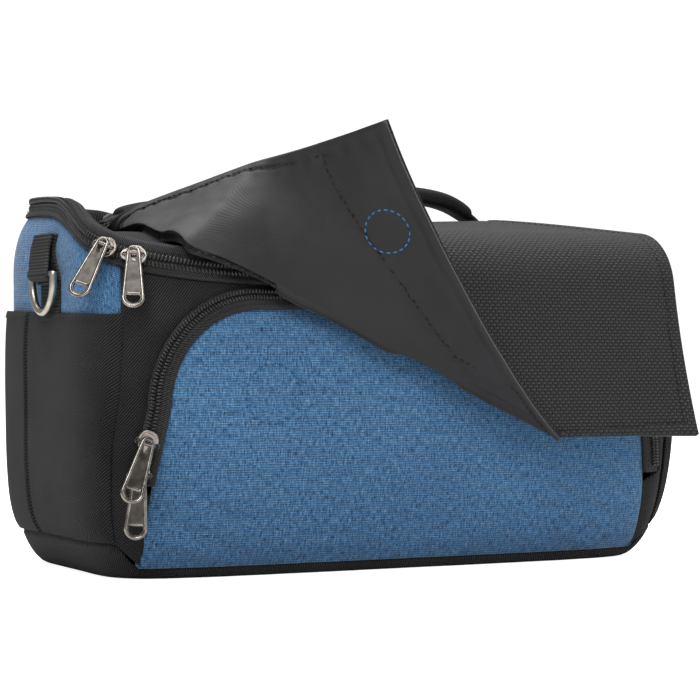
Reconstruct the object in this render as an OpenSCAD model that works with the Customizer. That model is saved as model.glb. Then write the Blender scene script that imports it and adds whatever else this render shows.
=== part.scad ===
// Padded camera shoulder bag with a lifted storm flap.
// Origin on the ground under the middle of the body, +Z up, front towards -Y, widths along X.

/* [Body] */
// Half width of the body at its widest
half_width = 154; // [152:1:158]
// Front of the bulge, measured forward from the origin
front_depth = 86; // [84:1:88]
// Back of the body, measured backward from the origin
rear_depth = 67; // [65:1:69]
// Height of the zipped rim at the back
rim_rear = 173; // [171:1:175]
// Drop of the rim from the back to the front
rim_drop = 34; // [32:1:36]
// Thickness of each sewn fabric panel
fabric = 2; // [1.4:0.1:2.2]

/* [Pocket] */
// Half width of the zipped arch where its straight sides end
arch_half = 130; // [126:1:132]
// Radius of the arch's upper corners
arch_radius = 50; // [40:1:54]
// Height of the top of the arch
arch_top = 128; // [122:1:130]
// Height of the side pockets' hem
hem_height = 118; // [90:1:118]

/* [Flap] */
// Half width of the flap at its sewn seam
flap_rear_half = 113; // [108:1:116]
// Half width of the flap at its front hem
flap_front_half = 144; // [140:1:148]
// Length of the flap that hangs down the front
flap_drop = 75; // [60:1:78]
// Thickness of the flap's outer layer
flap_skin = 1.2; // [0.8:0.1:1.3]

/* [Hardware] */
// Width of the lug webbing
web_width = 24; // [20:1:24]
// Radius of the D-ring's wire
wire = 1.7; // [1.3:0.1:1.7]
// Length of a zip pull
pull_length = 29; // [24:1:30]
// Distance of each divider from the middle
divider_place = 45; // [40:1:50]

/* [Hidden] */
$fn = 32;

black = [0.09, 0.09, 0.1];
grey = [0.22, 0.22, 0.24];
blue = [0.16, 0.33, 0.55];
metal = [0.55, 0.52, 0.48];
foam = [0.35, 0.35, 0.36];

gap = 0.4;                  // space between neighbouring sewn pieces
belly = 83;                 // height where the front bulges most
shoulder = 140;             // height where the sides start to lean in
seam_half = 147;            // half width where side and front panels meet, low on the bag
seam_lean = 0.08;           // lean of that seam towards the middle, per unit of height
base_side = 17;             // height of the base panel's edge at the sides
base_front = 5;             // height of the base panel's edge at the front
tape = 7;                   // width of the pocket zipper's tape inside the arch
arch_lean = 0.19;           // outward lean of the arch's sides, per unit of height
zip_end = 43;               // height where the pocket zipper ends
chain_half = 2;             // half width of a zipper chain
tape_out = 0.8;             // how far zipper tape stands outside the fabric
chain_out = 2.4;            // how far a zipper chain stands outside the fabric
band_low = 6;               // how far the lid zipper's band reaches below its chain
zip_stop = 54;              // plan angle behind which the lid has no zipper
rim_level = 60;             // depth behind which the rim runs level
rim_tilt = 13;              // how much the soft rim is lower at the right end
lid_mid = 159.6;            // height of the middle of the lid
lid_lean = 1.5;             // how much the soft lid is lower at the left end than in the middle
lean_across = 4.6;          // how much the flap's sewn edge is lower at its left end
lining_half = 131;          // half width of the lining
lining_front = 56;          // front of the lining
lining_back = 54.6;         // back of the lining
lining_floor = 9;           // underside of the lining
lining_top = 141;           // top edge of the lining

// ---------- shape of the bag ----------

function clamp(v) = min(max(v, 0), 1);
function smooth(v) = let (t = clamp(v)) t * t * (3 - 2 * t);
function mix(p, q, t) = p * (1 - t) + q * t;
function rounding(z, tall, deep) = z < tall ? deep * (1 - sqrt(1 - pow((tall - max(z, 0)) / tall, 2))) : 0;

// Half width, front depth and back depth of the body at height z
function wide(z) = half_width - rounding(z, 36, 12) - 5 * pow(max(60 - z, 0) / 60, 2)
    - 12 * pow(max(z - shoulder, 0) / 36, 2);
function front(z) = front_depth - 15 * pow((belly - z) / (z < belly ? belly : 65), 2)
    - rounding(z, 20, 8);
function back(z) = rear_depth - rounding(z, 24, 8) - 2 * pow(max(z - 120, 0) / 56, 2);

// Powers of the plan's curve: along X, along Y, and of its sampling
function powers(a) = sin(a) < 0 ? [5, 8, 6.4] : [7, 7, 7];

// Sideways and lengthways fractions of the plan at angle a from +X
function plan(a) =
    let (
        p = powers(a),
        c = pow(abs(cos(a)), p.z),
        s = pow(abs(sin(a)), p.z)
    )
    [sign(cos(a)) * pow(c / (c + s), 1 / p.x), sign(sin(a)) * pow(s / (c + s), 1 / p.y)];

// Point of the body's surface at plan angle a and height z, moved outwards by off
function surface_at(a, z, off = 0) =
    let (
        p = powers(a),
        f = plan(a),
        w = wide(z),
        d = sin(a) < 0 ? front(z) : back(z),
        nx = sign(f.x) * p.x * pow(abs(f.x), p.x - 1) / w,
        ny = sign(f.y) * p.y * pow(abs(f.y), p.y - 1) / d,
        size = norm([nx, ny])
    )
    [w * f.x + off * nx / size, d * f.y + off * ny / size, z];

// Plan angle of the front's point at sideways place x
function front_angle(x) =
    let (p = powers(-90), u = pow(abs(x) / half_width, p.x))
    atan2(-pow(1 - u, 1 / p.z), sign(x) * pow(u, 1 / p.z));
function front_at(x, z, off = 0) = surface_at(front_angle(x), z, off);

// Half width of the seam between side and front panels at height z
function seam_x(z) = seam_half - seam_lean * max(z - 60, 0);

// Place and height of the zipped rim at plan angle a
function rim_y(a) = (sin(a) < 0 ? 70 : rear_depth - 2) * plan(a).y;
function rim_x(a) = half_width * plan(a).x;
function rim_sag(a) = sin(a) < 0 && abs(rim_x(a)) < 138 ? 2 * pow(1 - pow(rim_x(a) / 138, 2), 2) : 0;
function rim(a) = rim_rear - rim_drop * pow(max(rim_level - rim_y(a), 0) / (rim_level + 70), 3.6)
    - rim_sag(a) - rim_tilt * (1 + plan(a).x) / 2 * smooth((rim_y(a) + 70) / 40);

// Height of the base panel's edge, and of the band above the lid's chain
function base_edge(a) =
    base_front + (base_side - base_front) * (sin(a) < 0 ? smooth((abs(rim_x(a)) - 139) / 9) : 1);
function rear_share(a) = smooth((90 - abs(90 - a) - zip_stop) / 4);
function lid_band(a) = (4.6 + 3.6 * smooth((25 - rim_y(a)) / 90)) * (1 - rear_share(a));

// ---------- building blocks ----------

// Closed thin solid between two grids; from outside, rows run right and columns run up
module sheet(outer, inner) {
    nu = len(outer) - 1;
    w = len(outer[0]);
    n = (nu + 1) * w;
    quads = concat(
        [for (i = [0 : nu - 1], j = [0 : w - 2])
            [i * w + j, i * w + j + 1, (i + 1) * w + j + 1, (i + 1) * w + j]],
        [for (i = [0 : nu - 1], j = [0 : w - 2])
            [n + i * w + j, n + (i + 1) * w + j, n + (i + 1) * w + j + 1, n + i * w + j + 1]],
        [for (i = [0 : nu - 1]) [i * w, (i + 1) * w, n + (i + 1) * w, n + i * w]],
        [for (i = [0 : nu - 1])
            [i * w + w - 1, n + i * w + w - 1, n + (i + 1) * w + w - 1, (i + 1) * w + w - 1]],
        [for (j = [0 : w - 2]) [j, n + j, n + j + 1, j + 1]],
        [for (j = [0 : w - 2])
            [nu * w + j, nu * w + j + 1, n + nu * w + j + 1, n + nu * w + j]]
    );
    polyhedron(
        points = concat([for (row = outer) each row], [for (row = inner) each row]),
        faces = [for (q = quads) each [[q[0], q[1], q[2]], [q[0], q[2], q[3]]]]
    );
}

// Wall from a start angle, which may change with height, to plan angle a1, between two height rules
module wall(start, a1, low, high, out, depth, bulge = 0, nu = 16, nv = 6) {
    height = function (a, t) mix(low(a), high(a), t);
    angle = function (share, z) mix(start(z), a1, share);
    place = function (i, j, off)
        let (
            share = i / nu,
            t = j / nv,
            first = height(angle(share, belly), t),
            a = angle(share, height(angle(share, first), t))
        )
        surface_at(a, height(a, t), off + bulge * sin(180 * t));
    sheet(
        [for (i = [0 : nu]) [for (j = [0 : nv]) place(i, j, out)]],
        [for (i = [0 : nu]) [for (j = [0 : nv]) place(i, j, out - depth)]]
    );
}

// Sheet over the whole plan; the rule gives a point from plan angle, fraction and depth
module plan_sheet(rule, top, bottom, n = 16) {
    place = function (i, j, d)
        let (p = 2 * i / n - 1, q = 2 * j / n - 1)
        rule(p == 0 && q == 0 ? 0 : atan2(q, p), max(abs(p), abs(q)), d);
    sheet(
        [for (i = [0 : n]) [for (j = [0 : n]) place(i, j, top)]],
        [for (i = [0 : n]) [for (j = [0 : n]) place(i, j, bottom)]]
    );
}

// Band that follows the lid's rim; each row of the profile is height share, extra height and offset
module rim_band(rows, inside, stop) {
    nu = 60;
    place = function (i, row, off)
        let (a = mix(-180 - stop, stop, i / nu), turned = a < -180 ? a + 360 : a)
        surface_at(a, rim(a) + row[0] * lid_band(turned) + row[1], off);
    sheet(
        [for (i = [0 : nu]) [for (row = rows) place(i, row, row[2])]],
        [for (i = [0 : nu]) [for (row = rows) place(i, row, inside)]]
    );
}

// Flat panel with rounded corners, from one corner of its box to the other
module board(low, high, r) {
    size = high - low;
    translate(low) linear_extrude(size.z) {
        translate([r, 0]) square([size.x - 2 * r, size.y]);
        translate([0, r]) square([size.x, size.y - 2 * r]);
        for (x = [r, size.x - r], y = [r, size.y - r]) translate([x, y]) circle(r);
    }
}

// ---------- outer fabric ----------

module base_panel() {
    flat_part = 0.8;
    rule = function (a, r, d)
        let (
            t = clamp((r - flat_part) / (1 - flat_part)),
            z = base_edge(a) * pow(t, 1.5),
            edge = surface_at(a, z, -d * smooth(2 * t)),
            shrink = min(r / flat_part, 1)
        )
        [edge.x * shrink, edge.y * shrink, z + d * (1 - smooth(t))];
    color(black) plan_sheet(rule, fabric, 0, 20);
}

wall_low = function (a) base_edge(a) + gap;
wall_high = function (a) rim(a) - band_low - gap;
back_high = function (a) rim(a) - (abs(90 - a) < 35 ? 2.6 : band_low + gap);
front_seam = function (z) front_angle(seam_x(z) + gap);
rear_seam = 43;

module back_panel() {
    start = function (z) rear_seam + 1;
    color(black) wall(start, 179 - rear_seam, wall_low, back_high, 0, fabric, nu = 18);
}

module side_panel(high) {
    color(blue) wall(front_seam, rear_seam, wall_low, high, 0, fabric);
}

module side_panel_right() {
    side_panel(wall_high);
}

module side_panel_left() {
    mirrored_high = function (a) wall_high(180 - a);
    mirror([1, 0, 0]) side_panel(mirrored_high);
}

module side_pocket() {
    low = function (a) base_edge(a) + gap + 1;
    high = function (a) hem_height;
    start = function (z) front_seam(z) + 1;
    color(black) wall(start, 34, low, high, fabric, fabric - 0.7, bulge = 2.4, nu = 18);
}

module side_pocket_right() {
    side_pocket();
}

module side_pocket_left() {
    mirror([1, 0, 0]) side_pocket();
}

// ---------- front panel and its zipped pocket ----------

arch_x = arch_half - arch_radius;
arch_z = arch_top - arch_radius;
side_steps = 6;
arc_steps = 8;
top_steps = 8;

// Half width of the arch at height z, moved in from the chain by inset
function arch_side(z, inset) = arch_half - inset + max(arch_z - z, 0) * arch_lean;

// Left half of a path up and over the arch, from height low to the middle of its top
function arch_half_path(low, inset) = concat(
    [for (i = [0 : side_steps - 1])
        let (z = mix(low, arch_z, i / side_steps)) [-arch_side(z, inset), z]],
    [for (i = [0 : arc_steps - 1])
        let (t = 180 - 90 * i / arc_steps, r = arch_radius - inset)
        [-arch_x + r * cos(t), arch_z + r * sin(t)]],
    [for (i = [0 : top_steps / 2]) [-arch_x * (1 - 2 * i / top_steps), arch_top - inset]]
);

// Adds the right half of a path that ends in the middle
function both_halves(path) = concat(
    path,
    [for (i = [len(path) - 2 : -1 : 0]) [-path[i].x, path[i].y]]
);
function arch_path(low, inset) = both_halves(arch_half_path(low, inset));

// Strip along the arch; each row of the profile is inset and offset, from inside to outside
module arch_strip(rows, inside) {
    place = function (i, row, off)
        let (p = arch_path(zip_end, row[0])[i]) front_at(p.x, p.y, off);
    n = len(arch_path(zip_end, 0)) - 1;
    sheet(
        [for (i = [0 : n]) [for (row = rows) place(i, row, row[1])]],
        [for (i = [0 : n]) [for (row = rows) place(i, row, inside)]]
    );
}

module pocket_zip_inner() {
    color(black) arch_strip(
        [[tape - gap, tape_out], [chain_half, tape_out], [chain_half, chain_out], [0.2, chain_out]],
        -1
    );
}

module pocket_zip_outer() {
    color(black) arch_strip([[-0.2, chain_out], [-chain_half, chain_out]], -1);
}

// Black frame between the arch and the bag's side seams, rim and base
module front_panel() {
    steps = [0, 0.2, 0.34, 0.43, 0.75];
    low = base_front + 3 * gap;
    inset_at = function (z) mix(tape - 0.6, -chain_half - gap, smooth((z - 30.5) / 6));
    corner = arc_steps / 2;
    top_at = function (x) rim(front_angle(x)) - band_low - 1.8;
    seam_top = top_at(-seam_x(top_at(-seam_half)));
    inner_half = concat(
        [for (t = steps) let (z = mix(low, arch_z, t)) [-arch_side(z, inset_at(z)), z]],
        [for (i = [0 : arc_steps - 1])
            let (t = 180 - 90 * i / arc_steps, r = arch_radius + chain_half + gap)
            [-arch_x + r * cos(t), arch_z + r * sin(t)]],
        [for (i = [0 : top_steps / 2])
            [-arch_x * (1 - 2 * i / top_steps), arch_top + chain_half + gap]]
    );
    outer_half = concat(
        [for (t = steps) let (z = mix(base_side + 1, arch_z, t)) [-seam_x(z), z]],
        [for (i = [0 : arc_steps - 1])
            i <= corner
                ? let (z = mix(arch_z, seam_top, i / corner)) [-seam_x(z), z]
                : let (x = mix(-seam_x(seam_top), -arch_x, i / corner - 1)) [x, top_at(x)]],
        [for (i = [0 : top_steps / 2])
            let (x = -arch_x * (1 - 2 * i / top_steps)) [x, top_at(x)]]
    );
    inner = both_halves(inner_half);
    outer = both_halves(outer_half);
    across = 3;
    last = len(inner) - 1;
    place = function (i, j, off)
        let (
            p = mix(inner[i], outer[i], j / across),
            low_z = base_edge(front_angle(p.x)) + 1.2
        )
        front_at(p.x, i == 0 || i == last ? max(p.y, low_z) : p.y, off);
    color(black) sheet(
        [for (i = [0 : len(inner) - 1]) [for (j = [0 : across]) place(i, j, 0)]],
        [for (i = [0 : len(inner) - 1]) [for (j = [0 : across]) place(i, j, -fabric)]]
    );
}

// Sheet that fills the arch, narrower by inset, between two offsets
module arch_fill(inset, out, depth) {
    low = base_front + 3 * gap;
    rows = concat(
        [for (i = [0 : side_steps - 1])
            let (z = mix(low, arch_z, i / side_steps)) [arch_side(z, inset), z]],
        [for (i = [0 : arc_steps])
            let (t = 90 * i / arc_steps, r = arch_radius - inset)
            [arch_x + r * cos(t), arch_z + r * sin(t)]]
    );
    nu = 18;
    place = function (i, row, off) front_at(row.x * (2 * i / nu - 1), row.y, off);
    sheet(
        [for (i = [0 : nu]) [for (row = rows) place(i, row, out)]],
        [for (i = [0 : nu]) [for (row = rows) place(i, row, out - depth)]]
    );
}

module pocket_panel() {
    color(blue) arch_fill(tape, 0, fabric);
}

module pocket_lining() {
    color(grey) arch_fill(tape + 3, -4.6, 0.8);
}

module panel_magnets() {
    place = 75;
    half = 9;
    steps = 3;
    color(metal) for (x = [-place, place]) sheet(
        [for (i = [0 : steps]) [for (j = [0 : steps])
            front_at(x + half * (2 * i / steps - 1), belly + half * (2 * j / steps - 1), -2.6)]],
        [for (i = [0 : steps]) [for (j = [0 : steps])
            front_at(x + half * (2 * i / steps - 1), belly + half * (2 * j / steps - 1), -4.2)]]
    );
}

// ---------- padding and lining ----------

module foam_front() {
    color(foam) board([-108, -61.5, 10], [108, -56.6, 138], 1);
}

module foam_back() {
    color(foam) board([-112, 55.2, 20], [112, 61.2, 146], 1);
}

module foam_right() {
    color(foam) board([132, -46, 12], [137, 46, 138], 1);
}

module foam_left() {
    mirror([1, 0, 0]) foam_right();
}

module base_pad() {
    color(foam) board([-124, -52, 2.6], [124, 48, 8.4], 20);
}

module lining() {
    corner = 18;
    skin = 1;
    low = [-lining_half, -lining_front, lining_floor];
    high = [lining_half, lining_back, lining_top];
    inset = [skin, skin, skin];
    color(grey) difference() {
        board(low, high, corner);
        board(low + inset, high + [-skin, -skin, skin], corner - skin);
    }
}

module divider(x) {
    thick = 6;
    color(foam) board(
        [x - thick / 2, 0.6 + 1 - lining_front, lining_floor + 1.6],
        [x + thick / 2, lining_back - 1.6, 120],
        2
    );
}

module divider_left() {
    divider(-divider_place);
}

module divider_right() {
    divider(divider_place);
}

// ---------- lid ----------

module lid_zip_lower() {
    color(black) rim_band(
        [[0, -band_low, tape_out], [0, -3, tape_out], [0, -2.8, chain_out], [0, -0.3, chain_out]],
        -1,
        zip_stop
    );
}

module lid_zip_upper() {
    color(black) rim_band(
        [[0, 0.3, chain_out], [0, 2.8, chain_out], [0, 3, tape_out], [1, -1, tape_out]],
        -1,
        zip_stop - 9
    );
}

// Height of the soft lid over the point x, y
function lid_top(x, y) = lid_mid + lid_lean * x / flap_rear_half - 11 * pow(max(-y, 0) / 62, 2.5);

// Point of the lid at plan angle a and fraction r, moved down by d
function lid_at(a, r, d) =
    let (
        edge = rim(a) + lid_band(a) + gap,
        p = surface_at(a, edge, -1.8),
        rise = smooth((r - 0.925) / 0.075)
    )
    [p.x * r, p.y * r, mix(lid_top(p.x * r, p.y * r), edge, rise) - d];

module lid_panel() {
    rule = function (a, r, d) lid_at(a, r, d);
    color(black) plan_sheet(rule, 0, fabric, 40);
}

module lid_foam() {
    rule = function (a, r, d) lid_at(a, r * 0.82, d);
    color(foam) plan_sheet(rule, 2.7, 6.4, 12);
}

module lid_lining() {
    rule = function (a, r, d) lid_at(a, r * 0.83, d);
    color(grey) plan_sheet(rule, 6.8, 7.6, 12);
}

// ---------- handle ----------

handle_y = 50;              // centre line of the handle
handle_web = 12;            // width of its webbing
handle_root = 106;          // half length of the handle
handle_base = 168.2;        // height of the middle between its pivots
handle_lean = 3;            // how much its pivots differ from that height
handle_rise = 15.5;           // how far its middle stands above them
grip_half = 98;             // half length of the padded grip
grip_thick = 3.8;           // half thickness of the grip

// Height of the handle's curve; the lifted flap presses its left part down
function handle_z(x) = handle_base + handle_lean * x / handle_root
    + handle_rise * (1 - pow(abs(x) / handle_root, 12)) * (1 - 0.45 * smooth((-x - 25) / 45));

// Arched band seen from the front, between two heights around the handle's curve
module handle_band(half, below, above, depth) {
    n = 30;
    xs = [for (i = [0 : n]) half * sin(90 * (2 * i / n - 1))];
    translate([0, handle_y + depth / 2, 0]) rotate([90, 0, 0]) linear_extrude(depth) polygon(concat(
        [for (x = xs) [x, handle_z(x) - below]],
        [for (i = [n : -1 : 0]) [xs[i], handle_z(xs[i]) + above]]
    ));
}

module handle_webbing() {
    color(grey) handle_band(handle_root, 1, 1, handle_web);
}

module handle_grip() {
    color(black) difference() {
        handle_band(grip_half, grip_thick, grip_thick, handle_web + 4);
        handle_band(grip_half + 2, 1.4, 1.4, handle_web + 0.6);
    }
}

// Sewn patch under one end of the handle, on the side given by sign
module handle_anchor(sign) {
    x0 = sign * handle_root - 6;
    x1 = sign * handle_root + 6;
    color(grey) board(
        [x0, handle_y - handle_web / 2, lid_top(x1, 0) + 2],
        [x1, handle_y + 2, handle_base + sign * handle_lean - 3.2],
        1
    );
}

module handle_anchor_right() {
    handle_anchor(1);
}

module handle_anchor_left() {
    handle_anchor(-1);
}

// ---------- storm flap ----------

seam_y = 38.5;              // line where the flap is sewn to the lid
seam_z = 167.2;             // height of the flap's face at that line
top_end = -54;              // where the flap starts to turn over the front edge
top_slope = 4;              // fall of its top, in degrees
drop_slope = 80;            // fall of its front, in degrees
ridge_r = 30;               // radius of the turn between them
top_len = (seam_y - top_end) / cos(top_slope);
turn_len = ridge_r * (drop_slope - top_slope) * PI / 180;
flap_len = top_len + turn_len + flap_drop;
tip = [-38.5, -125.8, 204]; // lifted corner of the flap
fold_end = 70;              // where the fold meets the front hem
seam_left = [-flap_rear_half, seam_y, seam_z - lean_across];

// Place and fall of the flap's face at length s from the seam, as [y, z, slope]
function flap_line(s) =
    s < top_len
        ? [seam_y - s * cos(top_slope), seam_z - s * sin(top_slope), top_slope]
        : let (
            slope = min(top_slope + (s - top_len) / ridge_r * 180 / PI, drop_slope),
            y1 = top_end + ridge_r * sin(top_slope),
            z1 = seam_z - top_len * sin(top_slope) - ridge_r * cos(top_slope),
            rest = max(s - top_len - turn_len, 0)
        )
        [y1 - ridge_r * sin(slope) - rest * cos(slope), z1 + ridge_r * cos(slope) - rest * sin(slope), slope];

// Point of the flap lying on the bag, at sideways place x and length s
function flap_lying(x, s) =
    let (
        p = flap_line(s),
        crown = 6 * (1 - pow(x / flap_front_half, 2)) * smooth((s - 60) / 60),
        flare = 8 * pow(abs(x) / flap_front_half, 6) * pow(clamp((s - top_len - turn_len) / flap_drop), 2),
        across = lean_across * x / flap_rear_half * (1 - smooth(s / 110))
    )
    [x, p[0] - crown - flare, p[1] + across];

// Sideways place of the fold at length s
function fold_x(s) = s < 118
    ? -89 - 24 * smooth(s / 90)
    : mix(-113, fold_end, (s - 118) / (flap_len - 118));

// Sideways place of the flap's right edge at length s
function flap_edge(s) = mix(flap_rear_half, flap_front_half, smooth(s / 105));

// Point of the lifted corner, from the fold (w = 0) to the free edge (w = 1)
function flap_lifted(s, w) =
    let (
        from = flap_lying(fold_x(s), s),
        to = mix(seam_left, tip, s / flap_len),
        span = norm(to - from),
        bend = from + [-0.06 * span * smooth(s / 40), 0, 0],
        pull = mix(from, to, 0.7) + [-0.05 * span, -0.09 * span, -0.125 * span]
    )
    pow(1 - w, 3) * from + 3 * w * pow(1 - w, 2) * bend + 3 * w * w * (1 - w) * pull + pow(w, 3) * to;

flap_rows = 24;
lifted_cols = 10;
lying_cols = 10;

function flap_point(u, v) =
    let (
        s = u * flap_len,
        x0 = fold_x(s),
        x1 = flap_edge(s)
    )
    v < 0 ? flap_lifted(s, -v) : flap_lying(mix(x0, x1, v), s);

// Point of the flap's face with the direction that points away from the bag
function flap_face(u, v) =
    let (h = 0.01)
    [
        flap_point(u, v),
        cross(
            flap_point(min(u + h, 1), v) - flap_point(max(u - h, 0), v),
            flap_point(u, min(v + h, 1)) - flap_point(u, max(v - h, -1))
        )
    ];

// Grid of the flap lowered by d, over lists of row shares and column shares
function flap_grid(us, vs, d) =
    [for (u = us) [for (v = vs) let (p = flap_face(u, v)) p[0] - d * p[1] / norm(p[1])]];
function steps(from, to, n) = [for (i = [0 : n]) mix(from, to, i / n)];

flap_us = steps(0, 1, flap_rows);
flap_vs = concat(steps(-1, -1 / lifted_cols, lifted_cols - 1), steps(0, 1, lying_cols));

module flap_outer() {
    color(black) sheet(flap_grid(flap_us, flap_vs, 0), flap_grid(flap_us, flap_vs, flap_skin));
}

module flap_lining() {
    color(grey) sheet(flap_grid(flap_us, flap_vs, 2.5), flap_grid(flap_us, flap_vs, 3.2));
}

module flap_magnets() {
    lying = [steps(21 / flap_rows, 22 / flap_rows, 1), steps(0.1, 0.2, 1)];
    lifted = [steps(20 / flap_rows, 21 / flap_rows, 1), steps(-0.8, -0.7, 1)];
    color(metal) for (p = [lying, lifted])
        sheet(flap_grid(p[0], p[1], 1.45), flap_grid(p[0], p[1], 2.3));
}

module flap_seam() {
    n = 6;
    xs = [for (i = [0 : n]) flap_rear_half * (2 * i / n - 1)];
    color(black) translate([0, seam_y + 5.4, 0]) rotate([90, 0, 0]) linear_extrude(5) polygon(concat(
        [for (x = xs) [x, lid_top(x, 0) + 1]],
        [for (i = [n : -1 : 0]) [xs[i], seam_z - 3 + lean_across * xs[i] / flap_rear_half]]
    ));
}

// ---------- lugs and D-rings ----------

bar_out = 158.8;            // how far the D-ring's bar is from the middle
bar_z = 137;                // height of the bar
lug_y = -15;                // centre of the lug along the side
lug_top_left = 156;         // height of the left lug's upper end
lug_top_right = 145;        // height of the right lug's upper end, under the lower rim there
ring_half = web_width / 2 + wire + 0.4;

module lug_web(lug_top) {
    eye = wire + 0.4;
    strap = 1.6;
    back = [for (t = [0 : 0.25 : 1]) let (z = mix(lug_top, 121, t)) [wide(z) + 0.7, z]];
    color(black) translate([0, lug_y + web_width / 2, 0]) rotate([90, 0, 0]) linear_extrude(web_width) {
        polygon(concat(back, [
            [wide(120) + 0.7 + strap, 121], [wide(bar_z) + 0.7 + strap, bar_z - 6],
            [wide(bar_z) + 0.7 + strap, bar_z + 3], [bar_out + eye, bar_z + 4],
            [wide(lug_top) + 3.6, lug_top]
        ]));
        difference() {
            translate([bar_out, bar_z]) circle(eye + strap);
            translate([bar_out, bar_z]) circle(eye);
        }
    }
}

module lug_with_eye(lug_top) {
    difference() {
        lug_web(lug_top);
        translate([bar_out, lug_y, bar_z]) rotate([90, 0, 0])
            cylinder(r = wire + 0.4, h = web_width + 2, center = true);
    }
}

module lug_web_right() {
    lug_with_eye(lug_top_right);
}

module lug_web_left() {
    mirror([1, 0, 0]) lug_with_eye(lug_top_left);
}

module d_ring() {
    leg = 3;
    color(metal) translate([bar_out, lug_y, bar_z]) {
        rotate([90, 0, 0]) cylinder(r = wire, h = 2 * ring_half, center = true);
        for (y = [-ring_half, ring_half]) {
            translate([0, y, 0]) sphere(wire);
            translate([0, y, -leg]) cylinder(r = wire, h = leg);
        }
        translate([0, 0, -leg]) rotate([90, 0, 90]) rotate([0, 0, 180])
            rotate_extrude(angle = 180) translate([ring_half, 0]) circle(wire);
    }
}

module d_ring_right() {
    d_ring();
}

module d_ring_left() {
    mirror([1, 0, 0]) d_ring();
}

// ---------- zip sliders and pulls ----------

bar_stand = 4.2;            // distance of the pull's bar from the slider's back

// Slider with its back at y = 0, facing -Y, with a bar along X
module slider() {
    color(metal) {
        translate([-5, -1.3, -4.5]) cube([10, 1.3, 9]);
        for (x = [-4.4, 3.2]) translate([x, -bar_stand - 0.9, -1.4]) cube([1.2, bar_stand, 2.8]);
        translate([-4, -bar_stand, 0]) rotate([0, 90, 0]) cylinder(r = 0.8, h = 8);
    }
}

// Tapered pull that hangs from the origin, with a barrel for the bar and a window at its end
module pull() {
    top = 2.7;
    end_r = 5.2;
    end_z = end_r + 2 - pull_length;
    plate = 1.8;
    rim_w = 1.4;
    color(metal) difference() {
        union() {
            rotate([0, 90, 0]) cylinder(r = 2, h = 2 * top, center = true);
            rotate([90, 0, 0]) linear_extrude(plate, center = true)
                polygon([[-top, -1], [top, -1], [end_r, end_z], [-end_r, end_z]]);
            translate([0, 0, end_z]) rotate([90, 0, 0]) cylinder(r = end_r, h = plate, center = true);
        }
        rotate([0, 90, 0]) cylinder(r = 1.15, h = 4 * top, center = true);
        intersection() {
            translate([0, 0, end_z]) rotate([90, 0, 0])
                cylinder(r = end_r - rim_w, h = 2 * plate, center = true);
            translate([-end_r, -plate, end_z - end_r]) cube([2 * end_r, 2 * plate, end_r + 1]);
        }
    }
}

// Stations of the four sliders: [plan angle, height, offset, spin in the surface, lean of the pull]
slider_out = chain_out + 0.6;
pocket_upper_z = 62;        // height of the upper slider on the pocket
pocket_lower_z = 48;        // height of the lower slider on the pocket
stations = [
    let (a = front_angle(-145.3)) [a, rim(a), slider_out, 19, 2],
    let (a = front_angle(-135)) [a, rim(a), slider_out, 2, 4],
    [front_angle(-arch_side(pocket_upper_z, 0)), pocket_upper_z, slider_out, 19, 20],
    [front_angle(-arch_side(pocket_lower_z, 0)), pocket_lower_z, slider_out, 4, 9]
];

// Moves a piece built at the slider's own origin to its station, square to the surface there
module at_station(k) {
    s = stations[k];
    here = surface_at(s[0], s[1], s[2]);
    out = surface_at(s[0], s[1], s[2] + 1) - here;
    above = surface_at(s[0], s[1] + 1, s[2]) - here;
    facing = atan2(out.x, -out.y);
    pitch = -atan(above * out);
    translate(here) rotate([0, 0, facing]) rotate([-pitch, 0, 0]) rotate([0, s[3], 0]) children();
}

module hung_pull(k) {
    at_station(k) translate([0, -bar_stand, 0]) rotate([-stations[k][4], 0, 0]) pull();
}

module slider_lid_side() {
    at_station(0) slider();
}

module slider_lid_front() {
    at_station(1) slider();
}

module slider_pocket_upper() {
    at_station(2) slider();
}

module slider_pocket_lower() {
    at_station(3) slider();
}

module pull_lid_side() {
    hung_pull(0);
}

module pull_lid_front() {
    hung_pull(1);
}

module pull_pocket_upper() {
    hung_pull(2);
}

module pull_pocket_lower() {
    hung_pull(3);
}

base_panel();
back_panel();
side_panel_left();
side_panel_right();
front_panel();
pocket_panel();
pocket_lining();
pocket_zip_outer();
pocket_zip_inner();
panel_magnets();
foam_front();
foam_back();
foam_left();
foam_right();
base_pad();
lining();
side_pocket_left();
side_pocket_right();
lug_web_left();
lug_web_right();
lid_zip_lower();
lid_panel();
lid_foam();
lid_lining();
lid_zip_upper();
flap_seam();
handle_anchor_left();
handle_anchor_right();
handle_webbing();
handle_grip();
flap_outer();
flap_lining();
flap_magnets();
slider_lid_side();
slider_lid_front();
slider_pocket_upper();
slider_pocket_lower();
pull_lid_side();
pull_lid_front();
pull_pocket_upper();
pull_pocket_lower();
d_ring_left();
d_ring_right();
divider_left();
divider_right();
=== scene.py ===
"""Padded camera shoulder bag: fabric, zippers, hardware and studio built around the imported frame."""
import math

import bpy
import numpy as np
from mathutils import Matrix, Vector, noise


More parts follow.
